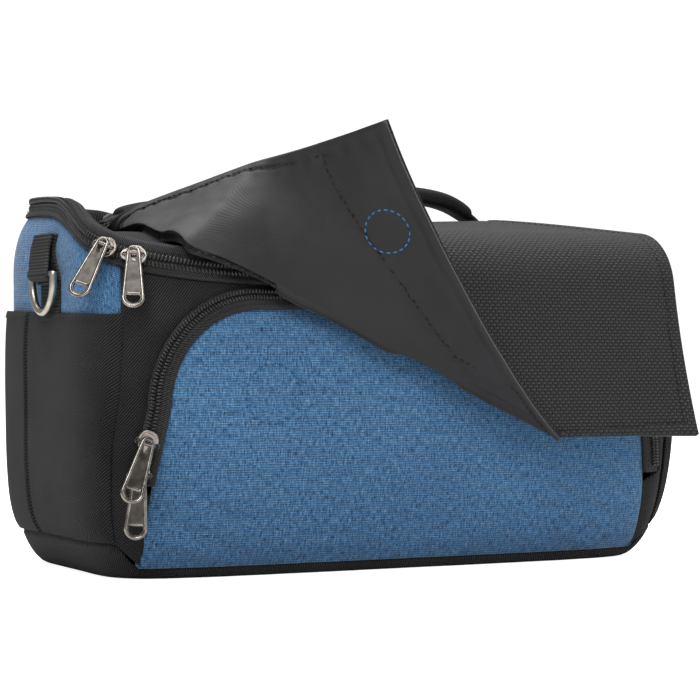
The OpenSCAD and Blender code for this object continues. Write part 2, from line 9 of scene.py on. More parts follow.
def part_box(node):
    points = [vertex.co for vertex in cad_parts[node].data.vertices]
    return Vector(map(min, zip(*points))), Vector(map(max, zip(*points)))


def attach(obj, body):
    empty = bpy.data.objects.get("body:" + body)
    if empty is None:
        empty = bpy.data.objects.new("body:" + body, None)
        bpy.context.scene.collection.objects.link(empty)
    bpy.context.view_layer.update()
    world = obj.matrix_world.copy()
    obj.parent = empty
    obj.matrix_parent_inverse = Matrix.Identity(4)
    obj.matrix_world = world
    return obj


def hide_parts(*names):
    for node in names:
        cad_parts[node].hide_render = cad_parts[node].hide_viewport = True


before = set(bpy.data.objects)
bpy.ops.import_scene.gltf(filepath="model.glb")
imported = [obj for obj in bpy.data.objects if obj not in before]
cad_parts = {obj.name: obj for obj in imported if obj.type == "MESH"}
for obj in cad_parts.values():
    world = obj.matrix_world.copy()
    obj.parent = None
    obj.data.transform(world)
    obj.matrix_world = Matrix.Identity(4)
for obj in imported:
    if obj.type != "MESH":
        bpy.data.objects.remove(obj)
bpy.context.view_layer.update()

# ---------------------------------------------------------------- sizes, in millimetres
MM = 0.001
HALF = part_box("side_panel_right")[1][0] / MM        # half width of the body
FRONT = -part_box("pocket_panel")[0][1] / MM          # depth of the front bulge
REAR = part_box("back_panel")[1][1] / MM              # depth of the back
FRONT_POWERS = (5.0, 8.0, 6.4)                      # powers of the plan's curve at the front
REAR_POWERS = (7.0, 7.0, 7.0)                       # and at the rear
BELLY = 83.0             # height of the front bulge
SHOULDER = 140.0         # height where the sides lean in
RIM_REAR = 173.0         # height of the zipped rim at the rear
RIM_DROP = 34.0          # how much lower it is at the front
RIM_LEVEL = 60.0         # in front of this y it starts to drop
RIM_TILT = 13.0          # how much lower the soft rim is at the right end
BAND_LOW = 6.0           # how far the lid zipper reaches below its chain
ZIP_STOP = 54.0          # plan angle behind which the lid has no zipper
SEAM = 147.0             # sideways place of the seam between side and front, low on the bag
SEAM_LEAN = 0.08         # how far that seam leans in for each millimetre up
SIDE_REAR = 43.0         # plan angle where the side panel meets the back
BASE_SIDE = 17.0         # height of the base cloth's edge at the sides
BASE_FRONT = 5.0         # and under the front
ARCH_HALF = 130.0        # half width of the pocket's arch
ARCH_R = 50.0            # its corner radius
ARCH_TOP = 128.0         # its height
ARCH_LEAN = 0.19         # how far its sides spread for each millimetre down
ARCH_X = ARCH_HALF - ARCH_R
ARCH_Z = ARCH_TOP - ARCH_R
TAPE = 7.0               # width of the zipper tape inside the arch
ZIP_END = 43.0           # height where the pocket's zipper ends
MAGNET_X = 75.0          # sideways place of the pocket's stitched rings
RING_R = 13.3            # their radius
HEM = 118.0              # side pocket's hem
LID_MID = 159.6          # height of the sunk lid
LID_LEAN = 1.5           # how much higher it is to the right
LEAN = 4.6               # the same for the flap's seam
FLAP_REAR = 113.0        # half width of the flap at its seam
FLAP_FRONT = 144.0       # and at its front hem
FLAP_DROP = 75.0         # length of the flap that hangs down in front
SEAM_Y = 38.5            # the flap's seam on the lid
SEAM_Z = 167.2
TOP_END = -54.0          # y where the flap starts to turn down
TOP_SLOPE = 4.0          # slope of its top, in degrees
DROP_SLOPE = 80.0        # and of its hanging front
RIDGE_R = 30.0           # radius of the turn between them
TIP = np.array([-38.5, -125.8, 204.0])              # the lifted corner
FOLD_END = 70.0          # sideways place where the fold meets the hem
HEM_WIDTH = 6.0          # distance of the hem's stitches from the flap's edge
PATCH = 38.0             # depth of the corner patch on the flap's lining
HANDLE_Y = 50.0
HANDLE_ROOT = 106.0      # half distance between the handle's sewn ends
HANDLE_BASE = 168.2      # height of the strap where it is sewn
HANDLE_LEAN = 3.0        # how much higher its right end is
HANDLE_RISE = 15.5       # how far its middle stands over its ends
BAR_OUT = 158.8          # the D-ring's bar
BAR_Z = 137.0
LUG_Y = -15.0
LUG_TOP = {-1: 156.0, 1: 145.0}
LUG_SKEW = 11.0          # how much further back the left lug is sewn than its ring hangs
SLIDER_OUT = 3.0         # how far the sliders' plates stand off the body
BAR_STAND = 4.2          # height of the bridge over a slider's plate
PULL = 29.0              # length of a zip pull
SIDES = {-1: "left", 1: "right"}


# ---------------------------------------------------------------- shape of the bag
def clamp(v):
    return np.clip(v, 0.0, 1.0)


def smooth(v):
    t = clamp(v)
    return t * t * (3 - 2 * t)


def mix(p, q, t):
    return p * (1 - t) + q * t


def lengths(path):
    """Length along a path at each of its points."""
    return np.concatenate([[0], np.cumsum(np.linalg.norm(np.diff(path, axis=0), axis=1))])


def sample(values, d, where):
    """Points of a path, known at the lengths d, at the lengths where."""
    return np.stack([np.interp(where, d, column) for column in np.transpose(values)], -1)


def nearest(values, target):
    """Index of the value nearest to target."""
    return int(np.argmin(np.abs(values - target)))


def rounding(z, tall, deep):
    """How far the walls pull in near the base, over a height of tall."""
    share = clamp((tall - np.maximum(z, 0.0)) / tall)
    return deep * (1 - np.sqrt(1 - share ** 2))


def wide(z):
    """Half width of the body at height z."""
    low = 5 * (np.maximum(60 - z, 0) / 60) ** 2
    high = 12 * (np.maximum(z - SHOULDER, 0) / 36) ** 2
    return HALF - rounding(z, 36, 12) - low - high


def front(z):
    """Depth of the body in front at height z."""
    span = np.where(z < BELLY, BELLY, 65.0)
    return FRONT - 15 * ((BELLY - z) / span) ** 2 - rounding(z, 20, 8)


def back(z):
    """Depth of the body behind at height z."""
    return REAR - rounding(z, 24, 8) - 2 * (np.maximum(z - 120, 0) / 56) ** 2


def plan(a):
    """Fractions of the plan at angle a (degrees from +X), and the powers of its curve."""
    c, s = np.cos(np.radians(a)), np.sin(np.radians(a))
    px, py, ps = (np.where(s < 0, f, r) for f, r in zip(FRONT_POWERS, REAR_POWERS))
    cc, ss = np.abs(c) ** ps, np.abs(s) ** ps
    fx = np.sign(c) * (cc / (cc + ss)) ** (1 / px)
    fy = np.sign(s) * (ss / (cc + ss)) ** (1 / py)
    return fx, fy, px, py


def surface(a, z, off=0.0):
    """Points of the body's surface at plan angle a and height z, moved outwards by off."""
    a, z, off = np.broadcast_arrays(np.asarray(a, float), np.asarray(z, float), np.asarray(off, float))
    fx, fy, px, py = plan(a)
    w = wide(z)
    d = np.where(fy < 0, front(z), back(z))
    nx = np.sign(fx) * px * np.abs(fx) ** (px - 1) / w
    ny = np.sign(fy) * py * np.abs(fy) ** (py - 1) / d
    size = np.hypot(nx, ny)
    return np.stack([w * fx + off * nx / size, d * fy + off * ny / size, z], -1)


def front_angle(x):
    """Plan angle of the front's point at sideways place x."""
    u = (np.abs(x) / HALF) ** FRONT_POWERS[0]
    p = 1 / FRONT_POWERS[2]
    return np.degrees(np.arctan2(-(1 - u) ** p, np.sign(x) * u ** p))


def front_at(x, z, off=0.0):
    return surface(front_angle(np.asarray(x, float)), z, off)


def seam_x(z):
    """Half width of the seam between side and front panels at height z."""
    return SEAM - SEAM_LEAN * np.maximum(z - 60, 0)


def rim_y(a):
    fy = plan(a)[1]
    return np.where(fy < 0, 70.0, REAR - 2.0) * fy


def rim_x(a):
    return HALF * plan(a)[0]


def rim(a):
    """Height of the zipped rim at plan angle a."""
    a = np.asarray(a, float)
    sag = np.where(np.sin(np.radians(a)) < 0, 2 * clamp(1 - (rim_x(a) / 138) ** 2) ** 2, 0.0)
    drop = RIM_DROP * (np.maximum(RIM_LEVEL - rim_y(a), 0) / (RIM_LEVEL + 70)) ** 3.6
    return RIM_REAR - drop - sag - RIM_TILT * (1 + plan(a)[0]) / 2 * smooth((rim_y(a) + 70) / 40)


def base_edge(a):
    """Height of the base cloth's edge seam."""
    a = np.asarray(a, float)
    side = smooth((np.abs(rim_x(a)) - 139) / 9)
    return BASE_FRONT + (BASE_SIDE - BASE_FRONT) * np.where(np.sin(np.radians(a)) < 0, side, 1.0)


def lid_band(a):
    """How far the lid's side of the zipper band reaches over the rim."""
    a = (np.asarray(a, float) + 180) % 360 - 180
    rear = smooth((90 - np.abs(90 - a) - ZIP_STOP) / 4)
    return (1.4 + 6.8 * smooth((25 - rim_y(a)) / 90)) * (1 - rear)


def arch_side(z, inset):
    """Half width of the pocket's arch at height z, moved inwards by inset."""
    return ARCH_HALF - inset + np.maximum(ARCH_Z - z, 0) * ARCH_LEAN


def arch_path(low, inset, step=1.5):
    """Points (x, z) up and over the pocket's arch, evenly about step apart."""
    n_side = max(int((ARCH_Z - low) / step), 2)
    z = np.linspace(low, ARCH_Z, n_side, endpoint=False)
    side = np.stack([-arch_side(z, inset), z], -1)
    r = ARCH_R - inset
    n_arc = int(r * math.pi / 2 / step)
    t = np.radians(np.linspace(180, 90, n_arc, endpoint=False))
    arc = np.stack([-ARCH_X + r * np.cos(t), ARCH_Z + r * np.sin(t)], -1)
    n_top = int(ARCH_X / step)
    x = np.linspace(-ARCH_X, 0, n_top)
    top = np.stack([x, np.full_like(x, ARCH_TOP - inset)], -1)
    left = np.concatenate([side, arc, top])
    right = left[-2::-1] * [-1, 1]
    return np.concatenate([left, right])


def wobble(points, scale, seed):
    """Smooth noise, about -1 to 1, with features scale millimetres wide."""
    flat = np.asarray(points, float).reshape(-1, 3) / scale + seed * 17.31
    values = np.array([noise.noise(Vector(p)) for p in flat])
    return values.reshape(np.asarray(points).shape[:-1])


# ---------------------------------------------------------------- mesh building
def unit(v):
    v = np.asarray(v, float)
    return v / np.maximum(np.linalg.norm(v, axis=-1, keepdims=True), 1e-9)


def grid_normals(p):
    """Outward directions of a grid whose rows run right and columns run up, seen from outside."""
    return unit(np.cross(np.gradient(p, axis=0), np.gradient(p, axis=1)))


def grid_lengths(p):
    """Lengths along a grid's rows and columns, for the weave."""
    du = np.linalg.norm(np.diff(p, axis=0), axis=-1).mean(axis=1)
    dv = np.linalg.norm(np.diff(p, axis=1), axis=-1).mean(axis=0)
    u = np.concatenate([[0], np.cumsum(du)])
    v = np.concatenate([[0], np.cumsum(dv)])
    return np.stack(np.meshgrid(u - u[-1] / 2, v, indexing="ij"), -1)


def quads(nu, nv, closed=(False, False)):
    """Faces of a grid of nu rows and nv columns."""
    rows = range(nu if closed[0] else nu - 1)
    columns = range(nv if closed[1] else nv - 1)
    return [[i * nv + j, (i + 1) % nu * nv + j, (i + 1) % nu * nv + (j + 1) % nv, i * nv + (j + 1) % nv]
            for i in rows for j in columns]


def border(nu, nv):
    """Places (i, j) once round the edge of a grid."""
    return ([(i, 0) for i in range(nu)] + [(nu - 1, j) for j in range(1, nv)]
            + [(i, nv - 1) for i in range(nu - 2, -1, -1)] + [(0, j) for j in range(nv - 2, 0, -1)])


class Piece:
    """Collects points and faces in millimetres and builds one object of them."""

    def __init__(self):
        self.points, self.faces, self.uvs, self.slots = [], [], [], []
        self.count = 0

    def add(self, points, faces, slot=0, uv=None):
        """Points and the faces between them, counted from the first of these points."""
        points = np.asarray(points, float).reshape(-1, 3)
        self.points.append(points)
        self.uvs.append(points[:, [0, 2]] if uv is None else np.asarray(uv, float).reshape(-1, 2))
        self.faces.extend([[i + self.count for i in f] for f in faces])
        self.slots.extend([slot] * len(faces))
        self.count += len(points)

    def grid(self, p, slot=0, uv=None, closed=(False, False)):
        """Single surface through a grid of points; closed joins its last row or column to the first."""
        self.add(p, quads(*p.shape[:2], closed), slot, grid_lengths(p) if uv is None else uv)

    def sheet(self, outer, thick, slot=0, inner_slot=None, uv=None, round_edge=0.35):
        """Closed cloth sheet with softly rounded edges."""
        nu, nv = outer.shape[:2]
        normal = grid_normals(outer)
        inner = outer - normal * thick
        uv = grid_lengths(outer) if uv is None else uv
        inner_slot = slot if inner_slot is None else inner_slot
        n = nu * nv
        start = self.count
        faces = quads(nu, nv)
        self.add(outer, faces, slot, uv)
        self.add(inner, [f[::-1] for f in faces], inner_slot, uv)
        ids = np.array([i * nv + j for i, j in border(nu, nv)])
        o, m = outer.reshape(-1, 3)[ids], normal.reshape(-1, 3)[ids]
        along = unit(np.roll(o, -1, 0) - np.roll(o, 1, 0))
        mid = o - m * thick / 2 + unit(np.cross(along, m)) * thick * round_edge
        base = self.count
        self.add(mid, [], slot, uv.reshape(-1, 2)[ids])
        k = len(ids)
        for a in range(k):
            b = (a + 1) % k
            self.faces.append([int(ids[b]) + start, int(ids[a]) + start, base + a, base + b])
            self.faces.append([base + b, base + a, int(ids[a]) + start + n, int(ids[b]) + start + n])
            self.slots.extend([slot, inner_slot])

    def tube(self, path, radius, sides=10, slot=0, closed=False, flat=1.0, up=None):
        """Round bar along a path; flat squeezes it along the up direction."""
        path = np.asarray(path, float)
        ahead = np.roll(path, -1, 0) - np.roll(path, 1, 0)
        if not closed:
            ahead[0], ahead[-1] = path[1] - path[0], path[-1] - path[-2]
        ahead = unit(ahead)
        up = np.broadcast_to(np.asarray((0, 0, 1.0) if up is None else up, float), path.shape)
        side = unit(np.cross(ahead, up))
        top = np.cross(side, ahead)
        r = np.broadcast_to(np.asarray(radius, float), (len(path),))[:, None, None]
        t = np.linspace(0, 2 * math.pi, sides, endpoint=False)
        ring = np.cos(t)[None, :, None] * side[:, None] + flat * np.sin(t)[None, :, None] * top[:, None]
        p = path[:, None] + r * ring
        self.grid(p, slot, closed=(closed, True))
        if not closed:
            n = self.count - len(path) * sides
            self.faces.append([n + i for i in range(sides)][::-1])
            self.faces.append([n + (len(path) - 1) * sides + i for i in range(sides)])
            self.slots.extend([slot, slot])

    def beads(self, centres, x, y, z, slot=0, rings=4, sides=7):
        """Many small ellipsoids; x, y and z are their half axes as vectors."""
        t = np.linspace(0, math.pi, rings + 1)[1:-1]
        s = np.linspace(0, 2 * math.pi, sides, endpoint=False)
        ball = [[0, 0, 1.0]]
        ball += [[math.sin(a) * math.cos(b), math.sin(a) * math.sin(b), math.cos(a)] for a in t for b in s]
        ball += [[0, 0, -1.0]]
        ball = np.array(ball)
        last = len(ball) - 1
        faces = [[0, 1 + j, 1 + (j + 1) % sides] for j in range(sides)]
        for i in range(rings - 2):
            a, b = 1 + i * sides, 1 + (i + 1) * sides
            faces += [[a + j, b + j, b + (j + 1) % sides, a + (j + 1) % sides] for j in range(sides)]
        a = 1 + (rings - 2) * sides
        faces += [[a + j, last, a + (j + 1) % sides] for j in range(sides)]
        for c, u, v, w in zip(centres, x, y, z):
            self.add(c + ball[:, :1] * u + ball[:, 1:2] * v + ball[:, 2:] * w, faces, slot)

    def plate(self, loops, low, high, bevel, place, slot=0):
        """Flat plate with holes: loops of (x, z), from depth low to high, with bevelled edges."""
        curve = bpy.data.curves.new("plate", "CURVE")
        curve.dimensions = "2D"
        curve.fill_mode = "BOTH"
        curve.extrude = (high - low) / 2 - bevel
        curve.bevel_depth = bevel
        curve.bevel_resolution = 2
        curve.offset = -bevel
        for loop in loops:
            spline = curve.splines.new("POLY")
            spline.points.add(len(loop) - 1)
            for point, (px, pz) in zip(spline.points, loop):
                point.co = (px, pz, 0, 1)
            spline.use_cyclic_u = True
        holder = bpy.data.objects.new("plate", curve)
        bpy.context.scene.collection.objects.link(holder)
        mesh = bpy.data.meshes.new_from_object(holder)
        p = np.array([v.co[:] for v in mesh.vertices])
        faces = [list(f.vertices) for f in mesh.polygons]
        bpy.data.objects.remove(holder)
        bpy.data.meshes.remove(mesh)
        bpy.data.curves.remove(curve)
        local = np.stack([p[:, 0], -(p[:, 2] + (low + high) / 2), p[:, 1]], -1)
        self.add(place(local), faces, slot, uv=p[:, :2])

    def build(self, name, body, materials, nodes, slot, sub=0):
        """Makes the object, lets it ride on a body and stand for the CAD nodes."""
        points = np.concatenate(self.points) * MM
        mesh = bpy.data.meshes.new(name)
        mesh.from_pydata([tuple(p) for p in points], [], self.faces)
        uv = np.concatenate(self.uvs)
        layer = mesh.uv_layers.new(name="weave")
        index = np.zeros(len(mesh.loops), dtype=np.int32)
        mesh.loops.foreach_get("vertex_index", index)
        layer.data.foreach_set("uv", uv[index].ravel())
        mesh.polygons.foreach_set("material_index", self.slots)
        mesh.polygons.foreach_set("use_smooth", [True] * len(mesh.polygons))
        for m in materials:
            mesh.materials.append(m)
        mesh.validate()
        obj = bpy.data.objects.new(name, mesh)
        bpy.context.scene.collection.objects.link(obj)
        if sub:
            step = obj.modifiers.new("soften", "SUBSURF")
            step.levels = sub
            step.render_levels = sub
        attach(obj, body)
        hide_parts(*nodes)


def stitches(piece, path, out, slot, length=2.4, gap=1.1, radius=0.28):
    """Row of thread dashes along a path, each lying along it and raised on out."""
    d = lengths(path)
    s = np.arange(length / 2, d[-1] - length / 2, length + gap)
    centre, normal = sample(path, d, s), unit(sample(out, d, s))
    along = unit(sample(path, d, s + 0.6) - sample(path, d, s - 0.6))
    side = np.cross(along, normal)
    piece.beads(centre, along * length / 2, side * radius, normal * radius, slot)


# ---------------------------------------------------------------- materials
class Shader:
    """A material's node tree with short ways to add to it."""

    def __init__(self, name):
        self.material = bpy.data.materials.new(name)
        self.material.use_nodes = True
        self.tree = self.material.node_tree
        self.bsdf = self.tree.nodes["Principled BSDF"]
        uv = self.tree.nodes.new("ShaderNodeUVMap")
        uv.uv_map = "weave"
        self.uv = uv.outputs[0]

    def node(self, kind, inputs=None, **options):
        n = self.tree.nodes.new("ShaderNode" + kind)
        for key, value in options.items():
            setattr(n, key, value)
        for key, value in (inputs or {}).items():
            if isinstance(value, bpy.types.NodeSocket):
                self.tree.links.new(value, n.inputs[key])
            else:
                n.inputs[key].default_value = value
        return n

    def speckle(self, scale, detail):
        """Noise fixed to the object, with scale features a metre."""
        place = self.node("TexCoord").outputs["Object"]
        return self.node("TexNoise", {"Vector": place, "Scale": scale, "Detail": detail}).outputs[0]

    def math(self, op, a, b=0.0, c=0.0):
        return self.node("Math", {0: a, 1: b, 2: c}, operation=op).outputs[0]

    def scaled(self, a, b, c=0.0):
        """a times b plus c."""
        return self.math("MULTIPLY_ADD", a, b, c)

    def parts(self):
        n = self.node("SeparateXYZ", {0: self.uv})
        return n.outputs[0], n.outputs[1]

    def noise(self, su, sv, detail=2.0, rough=0.5, seed=0.0):
        """Noise with su and sv features per millimetre along the cloth's two directions."""
        u, v = self.parts()
        vector = self.node("CombineXYZ", {0: self.scaled(u, su),
                                          1: self.scaled(v, sv), 2: seed}).outputs[0]
        return self.node("TexNoise", {"Vector": vector, "Scale": 1.0, "Detail": detail,
                                      "Roughness": rough}).outputs[0]

    def wave(self, ku, kv):
        """Sine of the cloth's coordinates, 0 to 1, with ku and kv cycles per millimetre."""
        u, v = self.parts()
        t = self.math("ADD", self.scaled(u, ku * 2 * math.pi),
                      self.scaled(v, kv * 2 * math.pi))
        return self.scaled(self.math("SINE", t), 0.5, 0.5)

    def ramp(self, value, stops):
        n = self.node("ValToRGB", {0: value})
        elements = n.color_ramp.elements
        while len(elements) < len(stops):
            elements.new(0.5)
        for element, (place, colour) in zip(elements, stops):
            element.position = place
            element.color = (*colour, 1)
        return n.outputs[0]

    def blend(self, share, a, b, mode="MIX"):
        n = self.node("Mix", data_type="RGBA", blend_type=mode)
        for key, value in ((0, share), (6, a), (7, b)):
            if isinstance(value, bpy.types.NodeSocket):
                self.tree.links.new(value, n.inputs[key])
            elif key == 0:
                n.inputs[key].default_value = value
            else:
                n.inputs[key].default_value = (*value, 1)
        return n.outputs[2]

    def set(self, **inputs):
        names = {"color": "Base Color", "rough": "Roughness", "metal": "Metallic", "normal": "Normal",
                 "sheen": "Sheen Weight", "sheen_rough": "Sheen Roughness", "spec": "Specular IOR Level",
                 "sheen_tint": "Sheen Tint", "coat": "Coat Weight"}
        for key, value in inputs.items():
            socket = self.bsdf.inputs[names[key]]
            if isinstance(value, bpy.types.NodeSocket):
                self.tree.links.new(value, socket)
            elif isinstance(value, tuple):
                socket.default_value = (*value, 1)
            else:
                socket.default_value = value

    def bump(self, height, strength, distance, under=None):
        inputs = {"Height": height, "Strength": strength, "Distance": distance * MM}
        if under is not None:
            inputs["Normal"] = under
        return self.node("Bump", inputs).outputs[0]


def heather():
    """Blue polyester of fine rows, light and dark yarns and navy flecks."""
    s = Shader("blue_heather")
    rows = s.wave(0.0, 0.93)
    slubs = s.noise(1.7, 0.22, 3.0, 0.65, 1.0)
    dashes = s.noise(0.35, 1.9, 2.0, 0.6, 5.0)
    flecks = s.noise(1.5, 0.38, 1.0, 0.5, 9.0)
    broad = s.noise(0.02, 0.02, 1.0, 0.5, 3.0)
    tone = s.scaled(slubs, 0.60, s.scaled(dashes, 0.40))
    base = s.ramp(tone, [(0.36, (0.026, 0.080, 0.170)), (0.46, (0.058, 0.160, 0.320)),
                         (0.54, (0.098, 0.240, 0.440)), (0.64, (0.200, 0.370, 0.580))])
    dark = s.scaled(s.math("SUBTRACT", 0.40, flecks), 12.0)
    dark = s.node("Clamp", {0: s.scaled(dark, 0.75), 2: 0.78}).outputs[0]
    colour = s.blend(dark, base, (0.014, 0.026, 0.052))
    shade = s.scaled(rows, 0.52, 0.64)
    shade = s.scaled(shade, s.scaled(broad, 0.3, 0.85))
    grey = s.node("CombineColor", {0: shade, 1: shade, 2: shade}).outputs[0]
    colour = s.blend(1.0, colour, grey, "MULTIPLY")
    height = s.scaled(rows, 0.6, s.scaled(slubs, 0.8))
    s.set(color=colour, rough=0.85, spec=0.25, sheen=0.25, sheen_rough=0.4,
          normal=s.bump(height, 0.55, 0.35))
    return s.material


def twill(name="black_twill", colour=(0.0070, 0.0066, 0.0070), pitch=0.95, strength=1.0):
    """Matt black cloth with a fine diagonal rib."""
    s = Shader(name)
    rib = s.wave(0.75 / pitch, -0.62 / pitch)
    cross = s.wave(0.0, 1.6)
    fuzz = s.noise(1.4, 1.4, 3.0, 0.6)
    broad = s.noise(0.03, 0.03, 2.0, 0.5, 2.0)
    tone = s.scaled(rib, 0.45, s.scaled(fuzz, 0.5))
    tone = s.scaled(broad, 0.35, tone)
    light = tuple(min(c * 6.5, 1) for c in colour)
    base = s.ramp(tone, [(0.34, tuple(c * 0.3 for c in colour)), (0.60, colour), (0.90, light)])
    height = s.math("ADD", s.scaled(rib, 0.8), s.scaled(cross, 0.2, fuzz))
    s.set(color=base, rough=0.8, spec=0.22, sheen=0.06, sheen_rough=0.5,
          normal=s.bump(height, strength, 0.35))
    return s.material


def ballistic():
    """Charcoal basket weave of flat shiny yarns, with painted highlights on the yarns' crests and painted
    shade in the gaps between them.
    """
    s = Shader("ballistic_nylon")
    u, v = s.parts()
    pitch = 1.55
    cell_u, cell_v = (s.math("DIVIDE", t, pitch) for t in (u, v))
    cell = s.math("ADD", s.math("FLOOR", cell_u), s.math("FLOOR", cell_v))
    odd = s.math("MODULO", s.math("ABSOLUTE", cell), 2.0)
    hill_u, hill_v = (s.math("ABSOLUTE", s.math("SINE", s.scaled(t, math.pi)))
                      for t in (cell_u, cell_v))
    yarn = s.node("Mix", {0: odd, 2: hill_u, 3: hill_v}, data_type="FLOAT").outputs[0]
    fuzz = s.noise(1.2, 1.2, 2.0)
    # Painted highlight and shade: tone rises on the yarns' crests and falls in the gaps between them, a
    # little higher in cells of one yarn direction.
    tone = s.scaled(yarn, 0.62, s.scaled(fuzz, 0.3))
    tone = s.scaled(odd, 0.2, tone)
    # The ramp's top stop is a painted highlight on the yarn crests; its bottom stop is painted shade between
    # the yarns.
    base = s.ramp(tone, [(0.25, (0.0012, 0.0012, 0.0015)), (0.62, (0.009, 0.009, 0.010)),
                         (1.0, (0.070, 0.069, 0.073))])
    s.set(color=base, rough=0.6, spec=0.32, sheen=0.04, normal=s.bump(yarn, 0.9, 0.6))
    return s.material


def lining_cloth(name, colour, rough=0.5, sheen=0.2):
    """Smooth tightly woven cloth with a soft shine."""
    s = Shader(name)
    fine = s.wave(1.1, 1.1)
    fuzz = s.noise(0.9, 0.9, 3.0)
    broad = s.noise(0.018, 0.03, 2.0, 0.5, 4.0)
    soft = s.scaled(broad, 0.6, s.scaled(fuzz, 0.25))
    tone = s.scaled(fine, 0.25, soft)
    base = s.ramp(tone, [(0.3, tuple(c * 0.75 for c in colour)), (0.8, tuple(c * 1.35 for c in colour))])
    s.set(color=base, rough=rough, spec=0.4, sheen=sheen, sheen_rough=0.35,
          normal=s.bump(s.math("ADD", fine, fuzz), 0.22, 0.2))
    return s.material


def webbing(name="webbing", ribs=(0.0, 0.62)):
    """Black strap woven in ribs across its length."""
    s = Shader(name)
    rib = s.wave(*ribs)
    threads = s.wave(ribs[1] * 1.9, ribs[0] * 1.9)
    fuzz = s.noise(1.2, 1.2, 2.0)
    tone = s.scaled(rib, 0.6, s.scaled(threads, 0.3))
    base = s.ramp(tone, [(0.1, (0.004, 0.004, 0.004)), (0.9, (0.032, 0.031, 0.031))])
    height = s.math("ADD", rib, s.scaled(threads, 0.35, s.scaled(fuzz, 0.4)))
    s.set(color=base, rough=0.7, spec=0.35, normal=s.bump(height, 0.8, 0.6))
    return s.material


def metal(name, colour, dark, rough):
    """Plated metal, darker and rougher in patches."""
    s = Shader(name)
    patch = s.speckle(240.0, 4.0)
    grain = s.speckle(2600.0, 2.0)
    base = s.ramp(patch, [(0.35, dark), (0.62, colour)])
    s.set(color=base, metal=1.0, rough=s.scaled(patch, 0.18, rough),
          normal=s.bump(grain, 0.02, 0.05))
    return s.material


def thread(name, colour):
    """Twisted sewing thread."""
    s = Shader(name)
    place = s.node("TexCoord").outputs["Object"]
    twist = s.node("TexWave", {"Vector": place, "Scale": 900.0, "Distortion": 1.0}).outputs["Fac"]
    base = s.ramp(twist, [(0.2, tuple(c * 0.6 for c in colour)), (0.8, colour)])
    s.set(color=base, rough=0.55, spec=0.4, normal=s.bump(twist, 0.3, 0.1))
    return s.material


def nylon_coil():
    """Glossy black nylon of the zipper's coils."""
    s = Shader("coil")
    patch = s.speckle(500.0, 2.0)
    base = s.ramp(patch, [(0.3, (0.012, 0.012, 0.013)), (0.7, (0.040, 0.039, 0.039))])
    s.set(color=base, rough=s.scaled(patch, 0.2, 0.22), spec=0.6)
    return s.material


def padding():
    """Closed cell foam with a pitted face."""
    s = Shader("foam")
    place = s.node("TexCoord").outputs["Object"]
    cells = s.node("TexVoronoi", {"Vector": place, "Scale": 900.0}).outputs[0]
    base = s.ramp(cells, [(0.1, (0.10, 0.10, 0.105)), (0.8, (0.16, 0.16, 0.165))])
    s.set(color=base, rough=0.9, spec=0.2, normal=s.bump(cells, 0.4, 0.2))
    return s.material


BLUE = heather()
BLACK = twill()
BAND = twill("zipper_tape", (0.0125, 0.012, 0.012), 0.8, 0.4)
NYLON = ballistic()
FLAP_CLOTH = lining_cloth("flap_lining", (0.024, 0.022, 0.023), 0.6, 0.15)
GREY_CLOTH = lining_cloth("grey_lining", (0.10, 0.10, 0.105), 0.6, 0.3)
WEB = webbing()
WEB_SIDE = webbing("webbing_handle", (0.62, 0.0))
COIL = nylon_coil()
GUN = metal("gunmetal", (0.42, 0.38, 0.34), (0.20, 0.18, 0.16), 0.16)
DARK_GUN = metal("gunmetal_dark", (0.16, 0.145, 0.13), (0.08, 0.075, 0.07), 0.3)
NICKEL = metal("satin_nickel", (0.66, 0.60, 0.52), (0.50, 0.45, 0.39), 0.24)
BLUE_THREAD = thread("blue_thread", (0.045, 0.27, 0.58))
RING_THREAD = thread("ring_thread", (0.015, 0.14, 0.36))
BLACK_THREAD = thread("black_thread", (0.012, 0.012, 0.013))
PALE_THREAD = thread("grey_thread", (0.006, 0.006, 0.007))
FOAM = padding()


# ---------------------------------------------------------------- body panels
def seam_tuck(away, deep=1.1, reach=4.0):
    """How far a panel dips towards a seam that is away millimetres off."""
    return -deep * np.exp(-(np.maximum(away, 0) / reach) ** 1.5)


def wall_panel(piece, a0, a1, low, high, out, thick, puff, inner_slot=0, size=(60, 48), tuck=1.1, seam=0):
    """Soft panel of the wall between two plan angles; seam is the end that follows the front seam."""
    nu, nv = size
    s, t = np.meshgrid(np.linspace(0, 1, nu), np.linspace(0, 1, nv), indexing="ij")
    a = mix(a0, a1, s)
    z = mix(low(a), high(a), t)
    if seam:
        shift = front_angle(seam_x(z)) - front_angle(SEAM)
        a = a + (shift * (1 - s) if seam > 0 else -shift * s)
        z = mix(low(a), high(a), t)
    p = surface(a, z, 0)
    uv = grid_lengths(p)
    width, tall = np.ptp(uv[:, 0, 0]), np.ptp(uv[0, :, 1])
    edge = np.minimum(np.minimum(s, 1 - s) * width, np.minimum(t, 1 - t) * tall)
    face = surface(a, z, out + seam_tuck(edge, tuck) + puff(s, t, p))
    piece.sheet(face, thick, 0, inner_slot, uv=uv)
    return face


def soft_folds(size, scale, seed):
    """Slow unevenness of a panel, stretched upwards."""
    return lambda s, t, p: size * wobble(p * [1, 1, 0.5], scale, seed)


def side_panel(sign):
    """Blue cloth of one side, grey inside."""
    piece = Piece()
    seam = front_angle(SEAM + 0.3)
    spans = (seam, SIDE_REAR) if sign > 0 else (180 - SIDE_REAR, 180 - seam)
    wall_panel(piece, *spans, lambda a: base_edge(a) + 0.2, lambda a: rim(a) - BAND_LOW - 0.2, 0.2, 2.0,
               soft_folds(0.9, 30, 2 + sign), 1, seam=sign)
    side = SIDES[sign]
    piece.build("side_fabric_" + side, "shell", [BLUE, GREY_CLOTH], ["side_panel_" + side], "blue_heather")


